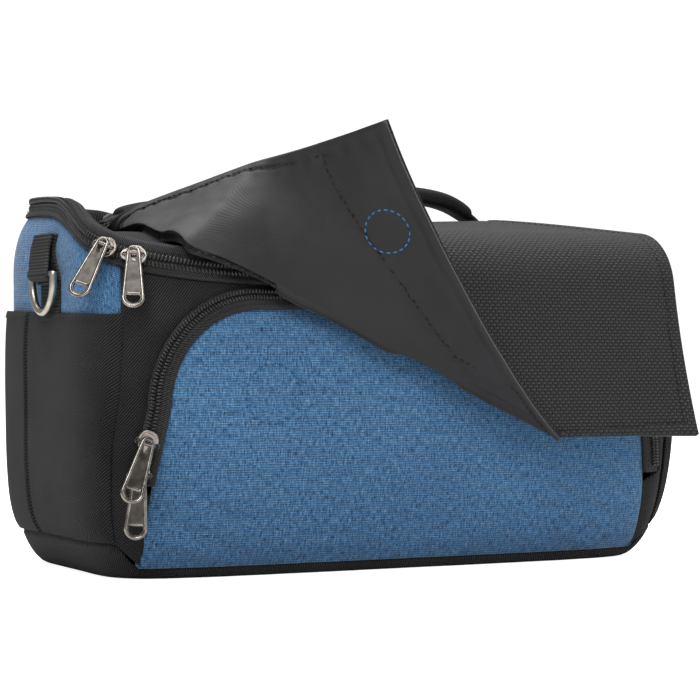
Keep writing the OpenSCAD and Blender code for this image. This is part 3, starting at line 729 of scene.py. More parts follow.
def side_pocket(sign):
    """Stretch pocket on the side: gathered cloth with a folded hem and a pleat seam."""
    piece = Piece()
    seam = front_angle(SEAM - 0.5)
    rear_angle = 36.0
    a0, a1 = (seam, rear_angle) if sign > 0 else (180 - rear_angle, 180 - seam)

    def puff(s, t, p):
        rear = s if sign > 0 else 1 - s
        body = 2.3 * np.sin(math.pi * np.clip(t, 0, 1)) ** 0.6
        hem = 0.5 * smooth((t - 0.965) / 0.01) + 1.0 * smooth((t - 0.5) / 0.5)
        pleat = -1.5 * np.exp(-((rear - 0.66) / 0.007) ** 2) + 0.9 * smooth((rear - 0.665) / 0.012)
        return (body + hem + pleat) * smooth(rear / 0.03) + 0.9 * wobble(p * [1, 1, 0.6], 30, 5)

    def hem_line(a):
        rear = clamp((a - a0) / (a1 - a0)) if sign > 0 else clamp((a1 - a) / (a1 - a0))
        return HEM + 0.6 + 3.0 * rear

    face = wall_panel(piece, a0, a1, lambda a: base_edge(a) + 0.1, hem_line, 1.4, 1.2, puff, size=(120, 120),
                      tuck=0.9, seam=sign)
    out = grid_normals(face)
    hem_row = int((face.shape[1] - 1) * 0.975)
    stitches(piece, (face + out * 0.1)[2:-2, hem_row], out[2:-2, hem_row], 1, 2.0, 1.2, 0.22)
    side = SIDES[sign]
    piece.build("side_pocket_fabric_" + side, "shell", [BLACK, BLACK_THREAD], ["side_pocket_" + side],
                "black_twill")


def back_panel():
    """Black cloth of the back, with a row of stitches under its rim."""
    piece = Piece()
    end = SIDE_REAR + 0.6

    def high(a):
        return rim(a) + 0.2 - (BAND_LOW + 0.4) * smooth((np.abs(90 - a) - 34) / 2)

    wall_panel(piece, end, 180 - end, lambda a: base_edge(a) + 0.2, high, 0.2, 2.0, soft_folds(1.0, 45, 8), 2,
               size=(90, 60))
    a = np.linspace(end + 3.2, 180 - end - 3.2, 300)
    z = rim(a) - 8.0
    path = surface(a, z, 1.0)
    stitches(piece, path, path - surface(a, z, 0), 1)
    piece.build("back_fabric", "shell", [BLACK, BLACK_THREAD, GREY_CLOTH], ["back_panel"], "black_twill")


def base():
    """Bottom cloth: flat under the bag and turned up to its edge seam."""
    piece = Piece()
    n = 97
    flat = 0.8
    q = np.linspace(-1, 1, n)
    p, r = np.meshgrid(q, q, indexing="ij")
    reach = np.maximum(np.abs(p), np.abs(r))
    a = np.degrees(np.arctan2(r, p))
    t = clamp((reach - flat) / (1 - flat))
    z = base_edge(a) * t ** 1.5
    edge = surface(a, z, 0.2 - 1.2 * smooth((t - 0.9) / 0.1))
    shrink = np.minimum(reach / flat, 1)[..., None]
    top = edge * np.concatenate([shrink, shrink, np.ones_like(shrink)], -1)
    top[..., 2] += 0.25 * np.abs(wobble(top, 30, 3)) * (1 - t)
    piece.sheet(top[::-1], 1.8, uv=top[::-1][..., :2])
    piece.build("base_fabric", "shell", [BLACK], ["base_panel"], "black_twill")


def front_frame():
    """Black cloth between the pocket's arch, the side seams, the rim and the base."""
    piece = Piece()
    low = BASE_FRONT + 0.2
    n_side, n_arc, n_top = 46, 34, 50

    def inset_at(z):
        return mix(TAPE - 0.4, -2.4, smooth((z - 38) / 5))

    z = np.linspace(low, ARCH_Z, n_side, endpoint=False)
    t = np.linspace(0, 1, n_arc, endpoint=False)
    turn = np.radians(180 - 90 * t)
    r = ARCH_R + 2.4
    x_top = np.linspace(-ARCH_X, 0, n_top)
    inner = np.concatenate([
        np.stack([-arch_side(z, inset_at(z)), z], -1),
        np.stack([-ARCH_X + r * np.cos(turn), ARCH_Z + r * np.sin(turn)], -1),
        np.stack([x_top, np.full(n_top, ARCH_TOP + 2.4)], -1)])

    def top(x):
        return rim(front_angle(x)) - BAND_LOW - 0.2

    corner_top = float(top(np.array(-seam_x(float(top(np.array(-SEAM)))))))
    corner_z = np.where(t < 0.5, mix(ARCH_Z, corner_top, 2 * t), 0.0)
    corner_x = np.where(t < 0.5, -seam_x(corner_z), mix(-seam_x(corner_top), -ARCH_X, 2 * t - 1))
    corner_z = np.where(t < 0.5, corner_z, top(corner_x))
    side_z = mix(BASE_SIDE + 0.2, ARCH_Z, (z - low) / (ARCH_Z - low))
    outer = np.concatenate([
        np.stack([-seam_x(side_z), side_z], -1),
        np.stack([corner_x, corner_z], -1),
        np.stack([x_top, top(x_top)], -1)])
    inner = np.concatenate([inner, inner[-2::-1] * [-1, 1]])
    outer = np.concatenate([outer, outer[-2::-1] * [-1, 1]])
    outer[:, 1] = np.minimum(outer[:, 1], top(outer[:, 0]))
    v = np.linspace(0, 1, 22)
    q = inner[:, None] * (1 - v)[None, :, None] + outer[:, None] * v[None, :, None]
    span = np.linalg.norm(outer - inner, axis=1)[:, None]
    d = np.minimum(v[None] * span, (1 - v)[None] * span)
    shape = front_at(q[..., 0], q[..., 1], 0)
    off = 0.3 + seam_tuck(d, 1.0, 3.0) + 1.3 * wobble(shape, 22, 6) * smooth(d / 8)
    creases = 0.7 * np.sin((q[..., 0] - q[..., 1]) / 6.5) * smooth(d / 10) * smooth((q[..., 1] - 100) / 20)
    p = front_at(q[..., 0], q[..., 1], off + creases)
    along = np.sign(q[..., 0]) * np.hypot(shape[..., 0], shape[..., 1] + front(q[..., 1]))
    piece.sheet(p, 2.0, 0, 1, uv=np.stack([along, q[..., 1]], -1))
    piece.build("front_fabric", "shell", [BLACK, GREY_CLOTH], ["front_panel"], "black_twill")


def pocket_face():
    """Blue front of the zipped pocket, padded, with stitched rings over its magnets."""
    piece = Piece()
    low = BASE_FRONT + 0.2
    z = np.concatenate([np.linspace(low, ARCH_Z, 60, endpoint=False),
                        ARCH_Z + (ARCH_R - TAPE) * np.sin(np.radians(np.linspace(0, 90, 36)))])
    half = np.where(z < ARCH_Z, arch_side(z, TAPE) + 4.0 * smooth((24 - z) / 20) ** 1.5,
                    ARCH_X + np.sqrt(np.maximum((ARCH_R - TAPE) ** 2 - (z - ARCH_Z) ** 2, 0)))
    s = np.linspace(-1, 1, 170)
    x = s[:, None] * half[None]
    zz = np.broadcast_to(z[None], x.shape)
    edge = np.minimum(half[None] - np.abs(x), np.minimum(z - low, ARCH_TOP - TAPE - z)[None])
    shape = front_at(x, zz, 0)
    off = 0.6 + seam_tuck(edge, 1.4, 4.5) + 1.2 * wobble(shape * [1, 1, 0.8], 55, 4) * smooth(edge / 20)
    pinch = np.exp(-((x + 112) / 26) ** 2 - ((zz - 22) / 13) ** 2)
    off = off + 1.1 * pinch * np.sin((x * 0.55 + zz) / 2.9) + 0.5 * wobble(shape, 14, 7) * smooth(edge / 8)
    for side in (-1, 1):
        ring = np.hypot(x - side * MAGNET_X, zz - BELLY)
        off = off - 0.35 * np.exp(-((ring - RING_R) / 1.5) ** 2)
    p = front_at(x, zz, off)
    along = np.sign(x) * np.hypot(shape[..., 0], (shape[..., 1] + front(zz)) * 0.8)
    piece.sheet(p, 1.9, uv=np.stack([along, zz], -1))
    t = np.linspace(0, 2 * math.pi, 160)
    for side in (-1, 1):
        ring_x, ring_z = side * MAGNET_X + RING_R * np.cos(t), BELLY + RING_R * np.sin(t)
        path = front_at(ring_x, ring_z, 0.55)
        stitches(piece, path, path - front_at(ring_x, ring_z, -1), 1, 2.3, 1.0, 0.3)
    piece.build("pocket_fabric", "shell", [BLUE, RING_THREAD], ["pocket_panel"], "blue_heather")


# ---------------------------------------------------------------- zippers
def band(piece, grid, heights, thick):
    """Zipper tape through a grid of points whose rows lie at the given mean heights."""
    uv = np.stack(np.meshgrid(np.arange(len(grid)) * 1.6, heights, indexing="ij"), -1)
    piece.sheet(grid, thick, 0, uv=uv)


def lid_zip():
    """The lid's zipper: a tape with one row of coil on the body and one on the lid."""
    lower, upper = Piece(), Piece()
    for piece, side, stop in ((lower, -1, ZIP_STOP), (upper, 1, ZIP_STOP - 8)):
        a = np.linspace(-180 - stop, stop, 520)
        d = lengths(surface(a, rim(a), 0))
        a = np.interp(np.linspace(0, d[-1], 460), d, a)
        share = lid_band(a)
        if side < 0:
            rows = [(-6.2, 0.2), (-5.8, 0.9), (-4.9, 1.2), (-3.9, 1.1), (-3.4, 0.6), (-2.4, 0.8), (-0.2, 0.9)]
        else:
            rows = [(0.2, 0.9), (1.4, 0.9), (2.2, 0.8), (np.maximum(share * 0.5, 2.6), 1.1),
                    (np.maximum(share * 0.8, 2.9), 1.1), (np.maximum(share + 0.2, 3.2), 0.5)]
        grid = np.stack([surface(a, rim(a) + dz, off) for dz, off in rows], 1)
        band(piece, grid, [np.mean(dz) for dz, _ in rows], 1.2)
        middle = surface(a, rim(a) + side * 0.05, 1.7)
        out = surface(a, rim(a), 2.7) - surface(a, rim(a), 1.7)
        half_coil(piece, middle, out, side)
        seam = surface(a, rim(a) + side * np.clip(share * 0.8, 3.0, 4.4), 1.3)
        stitches(piece, seam, out, 2, 1.9, 1.0, 0.18)
    lower.build("lid_zip_body_side", "shell", [BAND, COIL, BLACK_THREAD], ["lid_zip_lower"], "zip_coil")
    upper.build("lid_zip_lid_side", "lid", [BAND, COIL, BLACK_THREAD], ["lid_zip_upper"], "zip_coil")


def half_coil(piece, middle, out, side, pitch=1.75, half=2.9):
    """One row of slanted nylon loops, on the side of the middle line given by side."""
    d = lengths(middle)
    s = np.arange(pitch, d[-1] - 2 * pitch, pitch) + (pitch / 2 if side > 0 else 0)
    c, n = sample(middle, d, s), unit(sample(out, d, s))
    along = unit(sample(middle, d, s + 0.7) - sample(middle, d, s - 0.7))
    across = np.cross(n, along) * side
    tilted = unit(across + 0.3 * along)
    piece.beads(c + across * half * 0.56, tilted * half * 0.56, unit(np.cross(n, tilted)) * pitch * 0.40,
                n * 0.72, 1, rings=4, sides=6)


def pocket_zip():
    """The pocket's zipper over the arch."""
    outer, inner = Piece(), Piece()
    outer_rows = [(-0.2, 0.9), (-1.2, 0.9), (-2.6, 0.6)]
    inner_rows = [(TAPE + 0.3, 0.1), (TAPE - 0.6, 1.0), (5.2, 1.2), (3.8, 1.1), (2.8, 0.7), (1.2, 0.9),
                  (0.2, 0.9)]
    for piece, rows in ((outer, outer_rows), (inner, inner_rows)):
        paths = [arch_path(ZIP_END, inset, 1.6) for inset, _ in rows]
        n = max(len(p) for p in paths)
        even = []
        for p in paths:
            even.append(sample(p, np.arange(len(p)), np.linspace(0, len(p) - 1, n)))
        grid = np.stack([front_at(p[:, 0], p[:, 1], off) for p, (_, off) in zip(even, rows)], 1)
        band(piece, grid, [inset for inset, _ in rows], 1.1)
    p = arch_path(ZIP_END, 0.0, 1.6)
    middle = front_at(p[:, 0], p[:, 1], 1.6)
    out = front_at(p[:, 0], p[:, 1], 2.6) - middle
    half_coil(outer, middle, out, 1, pitch=1.55, half=2.4)
    half_coil(inner, middle, out, -1, pitch=1.55, half=2.4)
    p = arch_path(ZIP_END, 4.6, 1.6)
    seam = front_at(p[:, 0], p[:, 1], 1.35)
    stitches(inner, seam, seam - front_at(p[:, 0], p[:, 1], 0), 2, 1.9, 1.0, 0.18)
    outer.build("pocket_zip_body_side", "shell", [BAND, COIL], ["pocket_zip_outer"], "zip_coil")
    inner.build("pocket_zip_pocket_side", "shell", [BAND, COIL, BLACK_THREAD], ["pocket_zip_inner"],
                "zip_coil")


# ---------------------------------------------------------------- lid
def lid_top(x, y):
    """Height of the lid's sunk middle."""
    return LID_MID + LID_LEAN * x / FLAP_REAR - 11 * (np.maximum(-y, 0) / 62) ** 2.5


def lid_grid(n, scale, drop, puff=0.0):
    """Grid of n by n points over the lid, out to scale of its size and drop below its face."""
    q = np.linspace(-1, 1, n)
    p, r = np.meshgrid(q, q, indexing="ij")
    reach = np.maximum(np.abs(p), np.abs(r)) * scale
    a = np.degrees(np.arctan2(r, p))
    edge = rim(a) + lid_band(a) + 0.3
    ring = surface(a, edge, 0.3)
    x, y = ring[..., 0] * reach, ring[..., 1] * reach
    rise = smooth((reach - 0.90) / 0.10)
    z = mix(lid_top(x, y), edge, rise) - drop
    if puff:
        z = z + puff * wobble(np.stack([x, y, np.zeros_like(z)], -1), 34, 12) * (1 - rise)
        z = z - 1.2 * np.exp(-((reach - 0.93) / 0.012) ** 2)
    return np.stack([x, y, z], -1)


def lid():
    """The lid's cloth with its padding and lining."""
    piece = Piece()
    top = lid_grid(121, 1.0, 0.0, 1.2)
    piece.sheet(top, 1.8, 0, uv=top[..., :2])
    piece.build("lid_fabric", "lid", [BLACK], ["lid_panel"], "black_twill")
    pad = Piece()
    foam = lid_grid(41, 0.82, 2.7)
    pad.sheet(foam, 3.8, 0, uv=foam[..., :2])
    pad.build("lid_padding", "lid", [FOAM], ["lid_foam"], "foam")
    under = Piece()
    cloth = lid_grid(61, 0.83, 6.9)
    cloth[..., 2] += 0.4 * wobble(cloth, 30, 5)
    under.sheet(cloth, 0.8, 0, uv=cloth[..., :2])
    under.build("lid_lining_fabric", "lid", [GREY_CLOTH], ["lid_lining"], "lining")


# ---------------------------------------------------------------- handle
def handle_z(x):
    """Height of the handle; the lifted flap presses its left part down."""
    arch = 1 - (np.abs(x) / HANDLE_ROOT) ** 6
    return (HANDLE_BASE + HANDLE_LEAN * x / HANDLE_ROOT
            + HANDLE_RISE * np.maximum(arch, 0) * (1 - 0.45 * smooth((-x - 25) / 45)))


def handle():
    """Carry handle: a ribbed strap sewn to the lid with a padded grip round its middle."""
    strap = Piece()
    x = HANDLE_ROOT * np.sin(np.linspace(-math.pi / 2, math.pi / 2, 140))
    y = np.linspace(-6, 6, 9)
    xx, yy = np.meshgrid(x, y, indexing="ij")
    z = handle_z(xx) + 1.0 - 0.25 * (np.abs(yy) / 6) ** 4
    top = np.stack([xx, yy + HANDLE_Y, z], -1)
    strap.sheet(top, 2.0, 0)
    strap.build("handle_strap", "handle", [WEB_SIDE], ["handle_webbing"], "webbing")
    grip = Piece()
    n, sides = 90, 28
    s = np.linspace(-1, 1, n)
    gx = 99 * np.sin(s * math.pi / 2) + 2
    t = np.linspace(0, 2 * math.pi, sides, endpoint=False)
    end = (1 - np.abs(s) ** 14)[:, None] ** 0.5
    deep = 8.2 * (0.82 + 0.18 * end) * np.sign(np.cos(t)) * np.abs(np.cos(t)) ** 0.6
    tall = 4.4 * (0.55 + 0.45 * end) * np.sign(np.sin(t)) * np.abs(np.sin(t)) ** 0.8
    p = np.stack(np.broadcast_arrays(gx[:, None], HANDLE_Y + deep, handle_z(gx)[:, None] + tall), -1)
    p[..., 2] += 0.4 * wobble(p, 16, 3)
    grip.grid(p, 0, closed=(False, True))
    k = n * sides
    grip.faces.append([i for i in range(sides)])
    grip.faces.append([k - sides + i for i in range(sides)][::-1])
    grip.slots.extend([0, 0])
    for side in (-1, 1):
        line = np.stack([gx, np.full(n, HANDLE_Y + side * 6.0), handle_z(gx) + 3.5], -1)
        stitches(grip, line[6:-6], np.tile([0, side * 0.4, 1.0], (n - 12, 1)), 1, 2.4, 1.1, 0.25)
    grip.build("handle_pad", "handle", [BLACK, BLACK_THREAD], ["handle_grip"], "black_twill")
    for side, name in ((-1, "left"), (1, "right")):
        anchor = Piece()
        ax, ay = np.meshgrid(np.linspace(-6, 6, 20), np.linspace(-6.0, 4.0, 12), indexing="ij")
        x = side * (HANDLE_ROOT + ax)
        y = HANDLE_Y + ay
        z = HANDLE_BASE + side * HANDLE_LEAN - 3.2 - 0.6 * (ax / 6) ** 2
        grid = np.stack([x, y, z], -1)
        anchor.sheet(grid if side > 0 else grid[::-1], 2.2, 0)
        anchor.build("handle_patch_" + name, "lid", [WEB_SIDE], ["handle_anchor_" + name], "webbing")


# ---------------------------------------------------------------- storm flap
TOP_LEN = (SEAM_Y - TOP_END) / math.cos(math.radians(TOP_SLOPE))
TURN_LEN = RIDGE_R * math.radians(DROP_SLOPE - TOP_SLOPE)
FLAP_LEN = TOP_LEN + TURN_LEN + FLAP_DROP
SEAM_LEFT = np.array([-FLAP_REAR, SEAM_Y, SEAM_Z - LEAN])


def flap_lying(x, s):
    """Points of the flap's face where it lies on the bag, at sideways place x and length s."""
    slope = np.radians(TOP_SLOPE) + clamp((s - TOP_LEN) / TURN_LEN) * math.radians(DROP_SLOPE - TOP_SLOPE)
    rest = np.maximum(s - TOP_LEN - TURN_LEN, 0)
    first = np.minimum(s, TOP_LEN)
    low = math.radians(TOP_SLOPE)
    y = SEAM_Y - first * math.cos(low) - RIDGE_R * (np.sin(slope) - math.sin(low)) - rest * np.cos(slope)
    z = SEAM_Z - first * math.sin(low) - RIDGE_R * (math.cos(low) - np.cos(slope)) - rest * np.sin(slope)
    crown = 6 * (1 - (x / FLAP_FRONT) ** 2) * smooth((s - 60) / 60)
    flare = 8 * (np.abs(x) / FLAP_FRONT) ** 6 * clamp((s - TOP_LEN - TURN_LEN) / FLAP_DROP) ** 2
    across = LEAN * x / FLAP_REAR * (1 - smooth(s / 110))
    return np.stack([x + 0 * s, y - crown - flare, z + across], -1)


def fold_x(s):
    """Sideways place of the fold at length s: near the left edge on the lid, then slanting to the hem."""
    turn = 118
    return np.where(s < turn, -104 - 9 * smooth(s / 90), mix(-113, FOLD_END, (s - turn) / (FLAP_LEN - turn)))


def flap_edge(s):
    """Sideways place of the flap's right edge at length s."""
    return mix(FLAP_REAR, FLAP_FRONT, smooth(s / 105))


def flap_point(u, v):
    """Points of the flap's face: u along it from its seam, v from the lifted edge (-1) over the fold (0)."""
    u, v = np.broadcast_arrays(np.asarray(u, float), np.asarray(v, float))
    s = u * FLAP_LEN
    x0, x1 = fold_x(s), flap_edge(s)
    sag = 6.0 * np.exp(-((s - 90) / 24) ** 2)
    lying = flap_lying(mix(x0, x1, np.maximum(v, 0)), s)
    lying[..., 2] -= sag * (1 - smooth(v * 4))
    w = np.maximum(-v, 0)[..., None]
    start = flap_lying(x0, s)
    start[..., 2] -= sag
    end = mix(SEAM_LEFT, TIP, u[..., None])
    span = np.linalg.norm(end - start, axis=-1, keepdims=True)
    near = start + span * [-0.06, 0, 0] * smooth(s / 40)[..., None]
    far = mix(start, end, 0.7) + span * [-0.05, -0.09, -0.125] * smooth(s / 90)[..., None]
    lifted = (1 - w) ** 3 * start + 3 * w * (1 - w) ** 2 * near + 3 * w * w * (1 - w) * far + w ** 3 * end
    return np.where((v < 0)[..., None], lifted, lying)


def flap_grid():
    """The flap's face: 150 rows from seam to hem, 90 columns on its lifted part and 110 on the rest."""
    u = np.linspace(0, 1, 150)
    v = np.concatenate([np.linspace(-1, 0, 90, endpoint=False), np.linspace(0, 1, 110)])
    uu, vv = np.meshgrid(u, v, indexing="ij")
    p = soften(flap_point(uu, vv), 3)
    soft = wobble(p, 38, 21) + wobble(p, 15, 22) * 0.25
    free = smooth(np.minimum(1 + vv, 1 - vv) * 8) * smooth(uu * 8)
    return uu, vv, p + grid_normals(p) * (soft * free)[..., None]


def soften(p, times):
    """Averages a grid with its neighbours, keeping its border."""
    for _ in range(times):
        q = p.copy()
        q[1:-1, 1:-1] = (p[:-2, 1:-1] + p[2:, 1:-1] + p[1:-1, :-2] + p[1:-1, 2:] + 4 * p[1:-1, 1:-1]) / 8
        p = q
    return p


def flap():
    """The storm flap: nylon outside, smooth lining inside, hemmed, with its left corner lifted."""
    uu, vv, face = flap_grid()
    normal = grid_normals(face)
    s = uu * FLAP_LEN
    x0, x1 = fold_x(s), flap_edge(s)
    flat_x = np.where(vv < 0, x0 + vv * (x0 + x1), mix(x0, x1, vv))
    uv = np.stack([flat_x, -s], -1)
    from_left = np.stack([lengths(row) for row in face])
    from_seam = np.stack([lengths(face[:, j]) for j in range(face.shape[1])], 1)
    from_right = from_left[:, -1:] - from_left
    from_hem = from_seam[-1:] - from_seam
    edge = np.minimum(np.minimum(from_left, from_right), from_hem)
    groove = np.exp(-((edge - HEM_WIDTH) / 0.9) ** 2)
    hem = smooth((HEM_WIDTH - edge) / 1.5)
    pucker = 0.16 * np.sin(from_left / 2.3) * np.exp(-((from_hem - HEM_WIDTH) / 4) ** 2)
    lift = 0.35 * hem - 0.45 * groove + pucker
    outer, lining = Piece(), Piece()
    outer.sheet(face + normal * lift[..., None], 1.45, 0, uv=uv, round_edge=0.2)
    patch = (from_hem < PATCH) & (vv < -0.2)
    near_patch = np.exp(-((from_hem - PATCH) / 5.0) ** 2)
    near_edge = np.exp(-((from_left - HEM_WIDTH) / 5.0) ** 2)
    gathers = (near_patch * np.sin(from_left / 1.5 + 2 * wobble(face, 14, 8))
               + near_edge * np.sin(from_seam / 1.6 + 2 * wobble(face, 14, 9)))
    slack = 0.30 * gathers + 0.8 * wobble(face, 20, 31) + 0.35 * wobble(face, 8, 32)
    drop = 3.2 + 0.35 * hem - 0.4 * groove + 0.35 * patch + slack * (vv < 0) * smooth((edge - 1) / 4)
    thick_sheet(lining, face - normal * 1.5, face - normal * drop[..., None], uv)
    lining_stitches(lining, face, normal, from_left, from_hem)
    j = range(90, face.shape[1] - 4)
    i = [nearest(from_hem[:, k], HEM_WIDTH) for k in j]
    stitches(outer, (face + normal * 0.05)[i, j], normal[i, j], 1, 2.6, 1.2, 0.22)
    i = range(10, len(face) - 4)
    j = [nearest(from_right[k], HEM_WIDTH) for k in i]
    stitches(outer, face[i, j], normal[i, j], 1, 2.6, 1.2, 0.22)
    ring(lining, face, normal)
    outer.build("flap_nylon", "flap", [NYLON, BLACK_THREAD], ["flap_outer"], "ballistic_nylon")
    lining.build("flap_lining_fabric", "flap", [FLAP_CLOTH, PALE_THREAD, BLUE_THREAD], ["flap_lining"],
                 "flap_lining")


def thick_sheet(piece, upper, lower, uv):
    """Closed cloth between two given grids."""
    nu, nv = upper.shape[:2]
    n = nu * nv
    ids = [i * nv + j + piece.count for i, j in border(nu, nv)]
    faces = quads(nu, nv)
    piece.add(upper, faces, 0, uv)
    piece.add(lower, [f[::-1] for f in faces], 0, uv)
    for a, b in zip(ids, ids[1:] + ids[:1]):
        piece.faces.append([b, a, a + n, b + n])
        piece.slots.append(0)


def lining_stitches(piece, face, normal, from_left, from_hem):
    """Stitches of the lining: along the lifted edge, round the corner patch and along the hem."""
    inset, turn, last = 5.0, 60, 96

    def sew(spots):
        i, j = np.transpose(spots)
        stitches(piece, (face - normal * 3.35)[i, j], -normal[i, j], 1, 2.2, 1.3, 0.27)

    edge = [(i, nearest(from_left[i], inset)) for i in range(6, len(face))]
    edge = [(i, j) for i, j in edge if from_hem[i, j] > PATCH]
    sew(edge + [(nearest(from_hem[:, j], PATCH), j) for j in range(edge[-1][1], turn)])
    down = range(nearest(from_hem[:, turn], PATCH), nearest(from_hem[:, turn], HEM_WIDTH))
    sew([(i, turn) for i in down] + [(nearest(from_hem[:, j], HEM_WIDTH), j) for j in range(turn, last)])


def ring(piece, face, normal):
    """Blue stitched ring over the magnet in the lifted corner."""
    target = np.array([-24.0, -100.0, 156.0])
    sight = unit(np.array([0.4495, 0.8933, 0.0]))
    offset = face - target
    away = offset - (offset @ sight)[..., None] * sight
    lifted = slice(0, 80)
    i, j = np.unravel_index(np.argmin(np.linalg.norm(away[:, lifted], axis=-1)), away[:, lifted].shape[:2])
    n = normal[i, j]
    centre = face[i, j]
    ax = unit(np.cross(n, [0, 0, 1.0]))
    ay = np.cross(n, ax)
    flat = face[:, lifted].reshape(-1, 3)
    flat_n = normal[:, lifted].reshape(-1, 3)
    t = np.linspace(0, 2 * math.pi, 150)
    path, out = [], []
    for angle in t:
        want = centre + 10.3 * (math.cos(angle) * ax + math.sin(angle) * ay)
        gap = flat - want
        gap = gap - (gap @ n)[:, None] * n
        k = np.argsort(np.linalg.norm(gap, axis=1))[:4]
        height = ((flat[k] - want) @ n).mean()
        path.append(want + n * (height - 3.3))
        out.append(-flat_n[k].mean(0))
    stitches(piece, np.array(path), np.array(out), 2, 2.4, 0.8, 0.42)


def flap_binding():
    """Webbing strip that holds the flap to the lid."""
    piece = Piece()
    x, y = np.meshgrid(np.linspace(-FLAP_REAR, FLAP_REAR, 90), SEAM_Y + np.linspace(0.6, 5.4, 6),
                       indexing="ij")
    z = SEAM_Z - 2.8 + LEAN * x / FLAP_REAR + 0.2 * np.cos((y - SEAM_Y - 3) / 1.6)
    grid = np.stack([x, y, z], -1)
    piece.sheet(grid, 3.0, 0)
    line = np.stack([x[:, 3], y[:, 3], z[:, 3] + 0.1], -1)
    stitches(piece, line, np.tile([0, 0, 1.0], (len(line), 1)), 1)
    piece.build("flap_binding", "lid", [WEB_SIDE, BLACK_THREAD], ["flap_seam"], "webbing")


# ---------------------------------------------------------------- lugs, rings, sliders and pulls
def lug(sign):
    """Webbing loop that holds a D-ring to the side."""
    piece = Piece()
    half, rows, columns = 12.0, 60, 12
    top = LUG_TOP[sign]
    heights = np.array([top, mix(top, BAR_Z, 0.5), BAR_Z, 128, 119])
    base = wide(heights) + 1.4
    back_line = np.stack([base, heights], -1)
    a = np.radians(np.linspace(60, -150, 18))
    loop = np.stack([BAR_OUT + 3.0 * np.cos(a), BAR_Z + 3.0 * np.sin(a)], -1)
    front_line = [[base[0] + 2.1, top + 0.4], [base[1] + 2.6, heights[1]], [BAR_OUT + 1.2, BAR_Z + 5]]
    outer = np.concatenate([front_line, loop, [[base[2] + 2.0, BAR_Z - 3.4]]])
    y = LUG_Y + np.linspace(-half, half, columns)
    for line in (outer, back_line):
        line = sample(line, np.arange(len(line)), np.linspace(0, len(line) - 1, rows))
        for _ in range(6):
            line[1:-1] = (line[:-2] + line[2:] + 2 * line[1:-1]) / 4
        x, z = line.T
        skew = LUG_SKEW * (top - BAR_Z) / (LUG_TOP[-1] - BAR_Z) * smooth((z - BAR_Z + 4) / (top - BAR_Z))
        grid = np.stack(np.broadcast_arrays(x[:, None], y[None] + skew[:, None], z[:, None]), -1)
        if sign < 0:
            grid = (grid * [-1, 1, 1])[:, ::-1]
        piece.sheet(grid, 1.5, 0, uv=np.stack(np.meshgrid(lengths(line), y, indexing="ij"), -1)[..., ::-1])
    piece.build("lug_strap_" + SIDES[sign], "shell", [WEB], ["lug_web_" + SIDES[sign]], "webbing")


def station(k):
    """Where slider k sits: plan angle, height, roll in the surface and lean of its pull."""
    side, corner = float(front_angle(-145.3)), float(front_angle(-135.0))
    upper, lower = 62.0, 48.0
    return [(side, float(rim(side)), 19, 2), (corner, float(rim(corner)), 2, 4),
            (float(front_angle(-arch_side(upper, 0))), upper, 19, 20),
            (float(front_angle(-arch_side(lower, 0))), lower, 4, 9)][k]


def turned(axis, degrees):
    """Rotation matrix about one of the three axes."""
    return np.array(Matrix.Rotation(math.radians(degrees), 3, axis))


def placer(k, hung):
    """Function that moves local points to slider k, or to its pull."""
    a, z, roll, lean = station(k)
    here = surface(a, z, SLIDER_OUT)
    out = surface(a, z, SLIDER_OUT + 1) - here
    above = surface(a, z + 1, SLIDER_OUT) - here
    facing = math.degrees(math.atan2(out[0], -out[1]))
    pitch = -math.degrees(math.atan(float(above @ out)))
    turn = turned("Z", facing) @ turned("X", -pitch) @ turned("Y", roll)
    tip = turned("X", -lean)

    def place(p):
        p = np.asarray(p, float)
        if hung:
            p = p @ tip.T + [0, -BAR_STAND, 0]
        return p @ turn.T + here
    return place


def arc(z, r, a0, a1, n):
    """Points of an arc round (0, z) between two angles."""
    return [(r * math.cos(v), z + r * math.sin(v)) for v in np.radians(np.linspace(a0, a1, n))]


def facing(place, direction):
    """Where a local direction points once it is placed."""
    start, end = place([[0, 0, 0], direction])
    return end - start


def slider(k, name):
    """Die cast slider: shield shaped plate, raised side flanges and an arched bridge."""
    place = placer(k, False)
    piece = Piece()
    reach, waist = 4.1, 3.1
    shield = arc(1.4, 4.6, -20, 200, 22) + [(-waist, -2.8)] + arc(-3.6, 2.3, 200, 340, 8) + [(waist, -2.8)]
    along = [(z, x) for x, z in shield] if k < 2 else shield
    piece.plate([along], 0.0, 1.5, 0.35, place)
    piece.plate([[(0.78 * x, 0.78 * z) for x, z in along]], 1.3, 2.0, 0.3, place)
    t = np.linspace(-1, 1, 22)
    height = np.maximum(BAR_STAND * (1 - np.abs(t) ** 5), 1.2)
    bridge = np.stack([reach * t, -height, np.zeros_like(t)], -1)
    piece.tube(place(bridge), 0.85, 10, 0, up=facing(place, [0, -1.0, 0]), flat=0.9)
    for side in (-1, 1):
        foot = np.stack([np.full(8, side * reach), np.linspace(-0.8, -2.2, 8), np.zeros(8)], -1)
        piece.tube(place(foot), np.linspace(1.6, 0.95, 8), 10, 0, up=facing(place, [1.0, 0, 0]))
    piece.build("slider_body_" + name, "slider_" + name, [GUN], ["slider_" + name], "zip_metal")


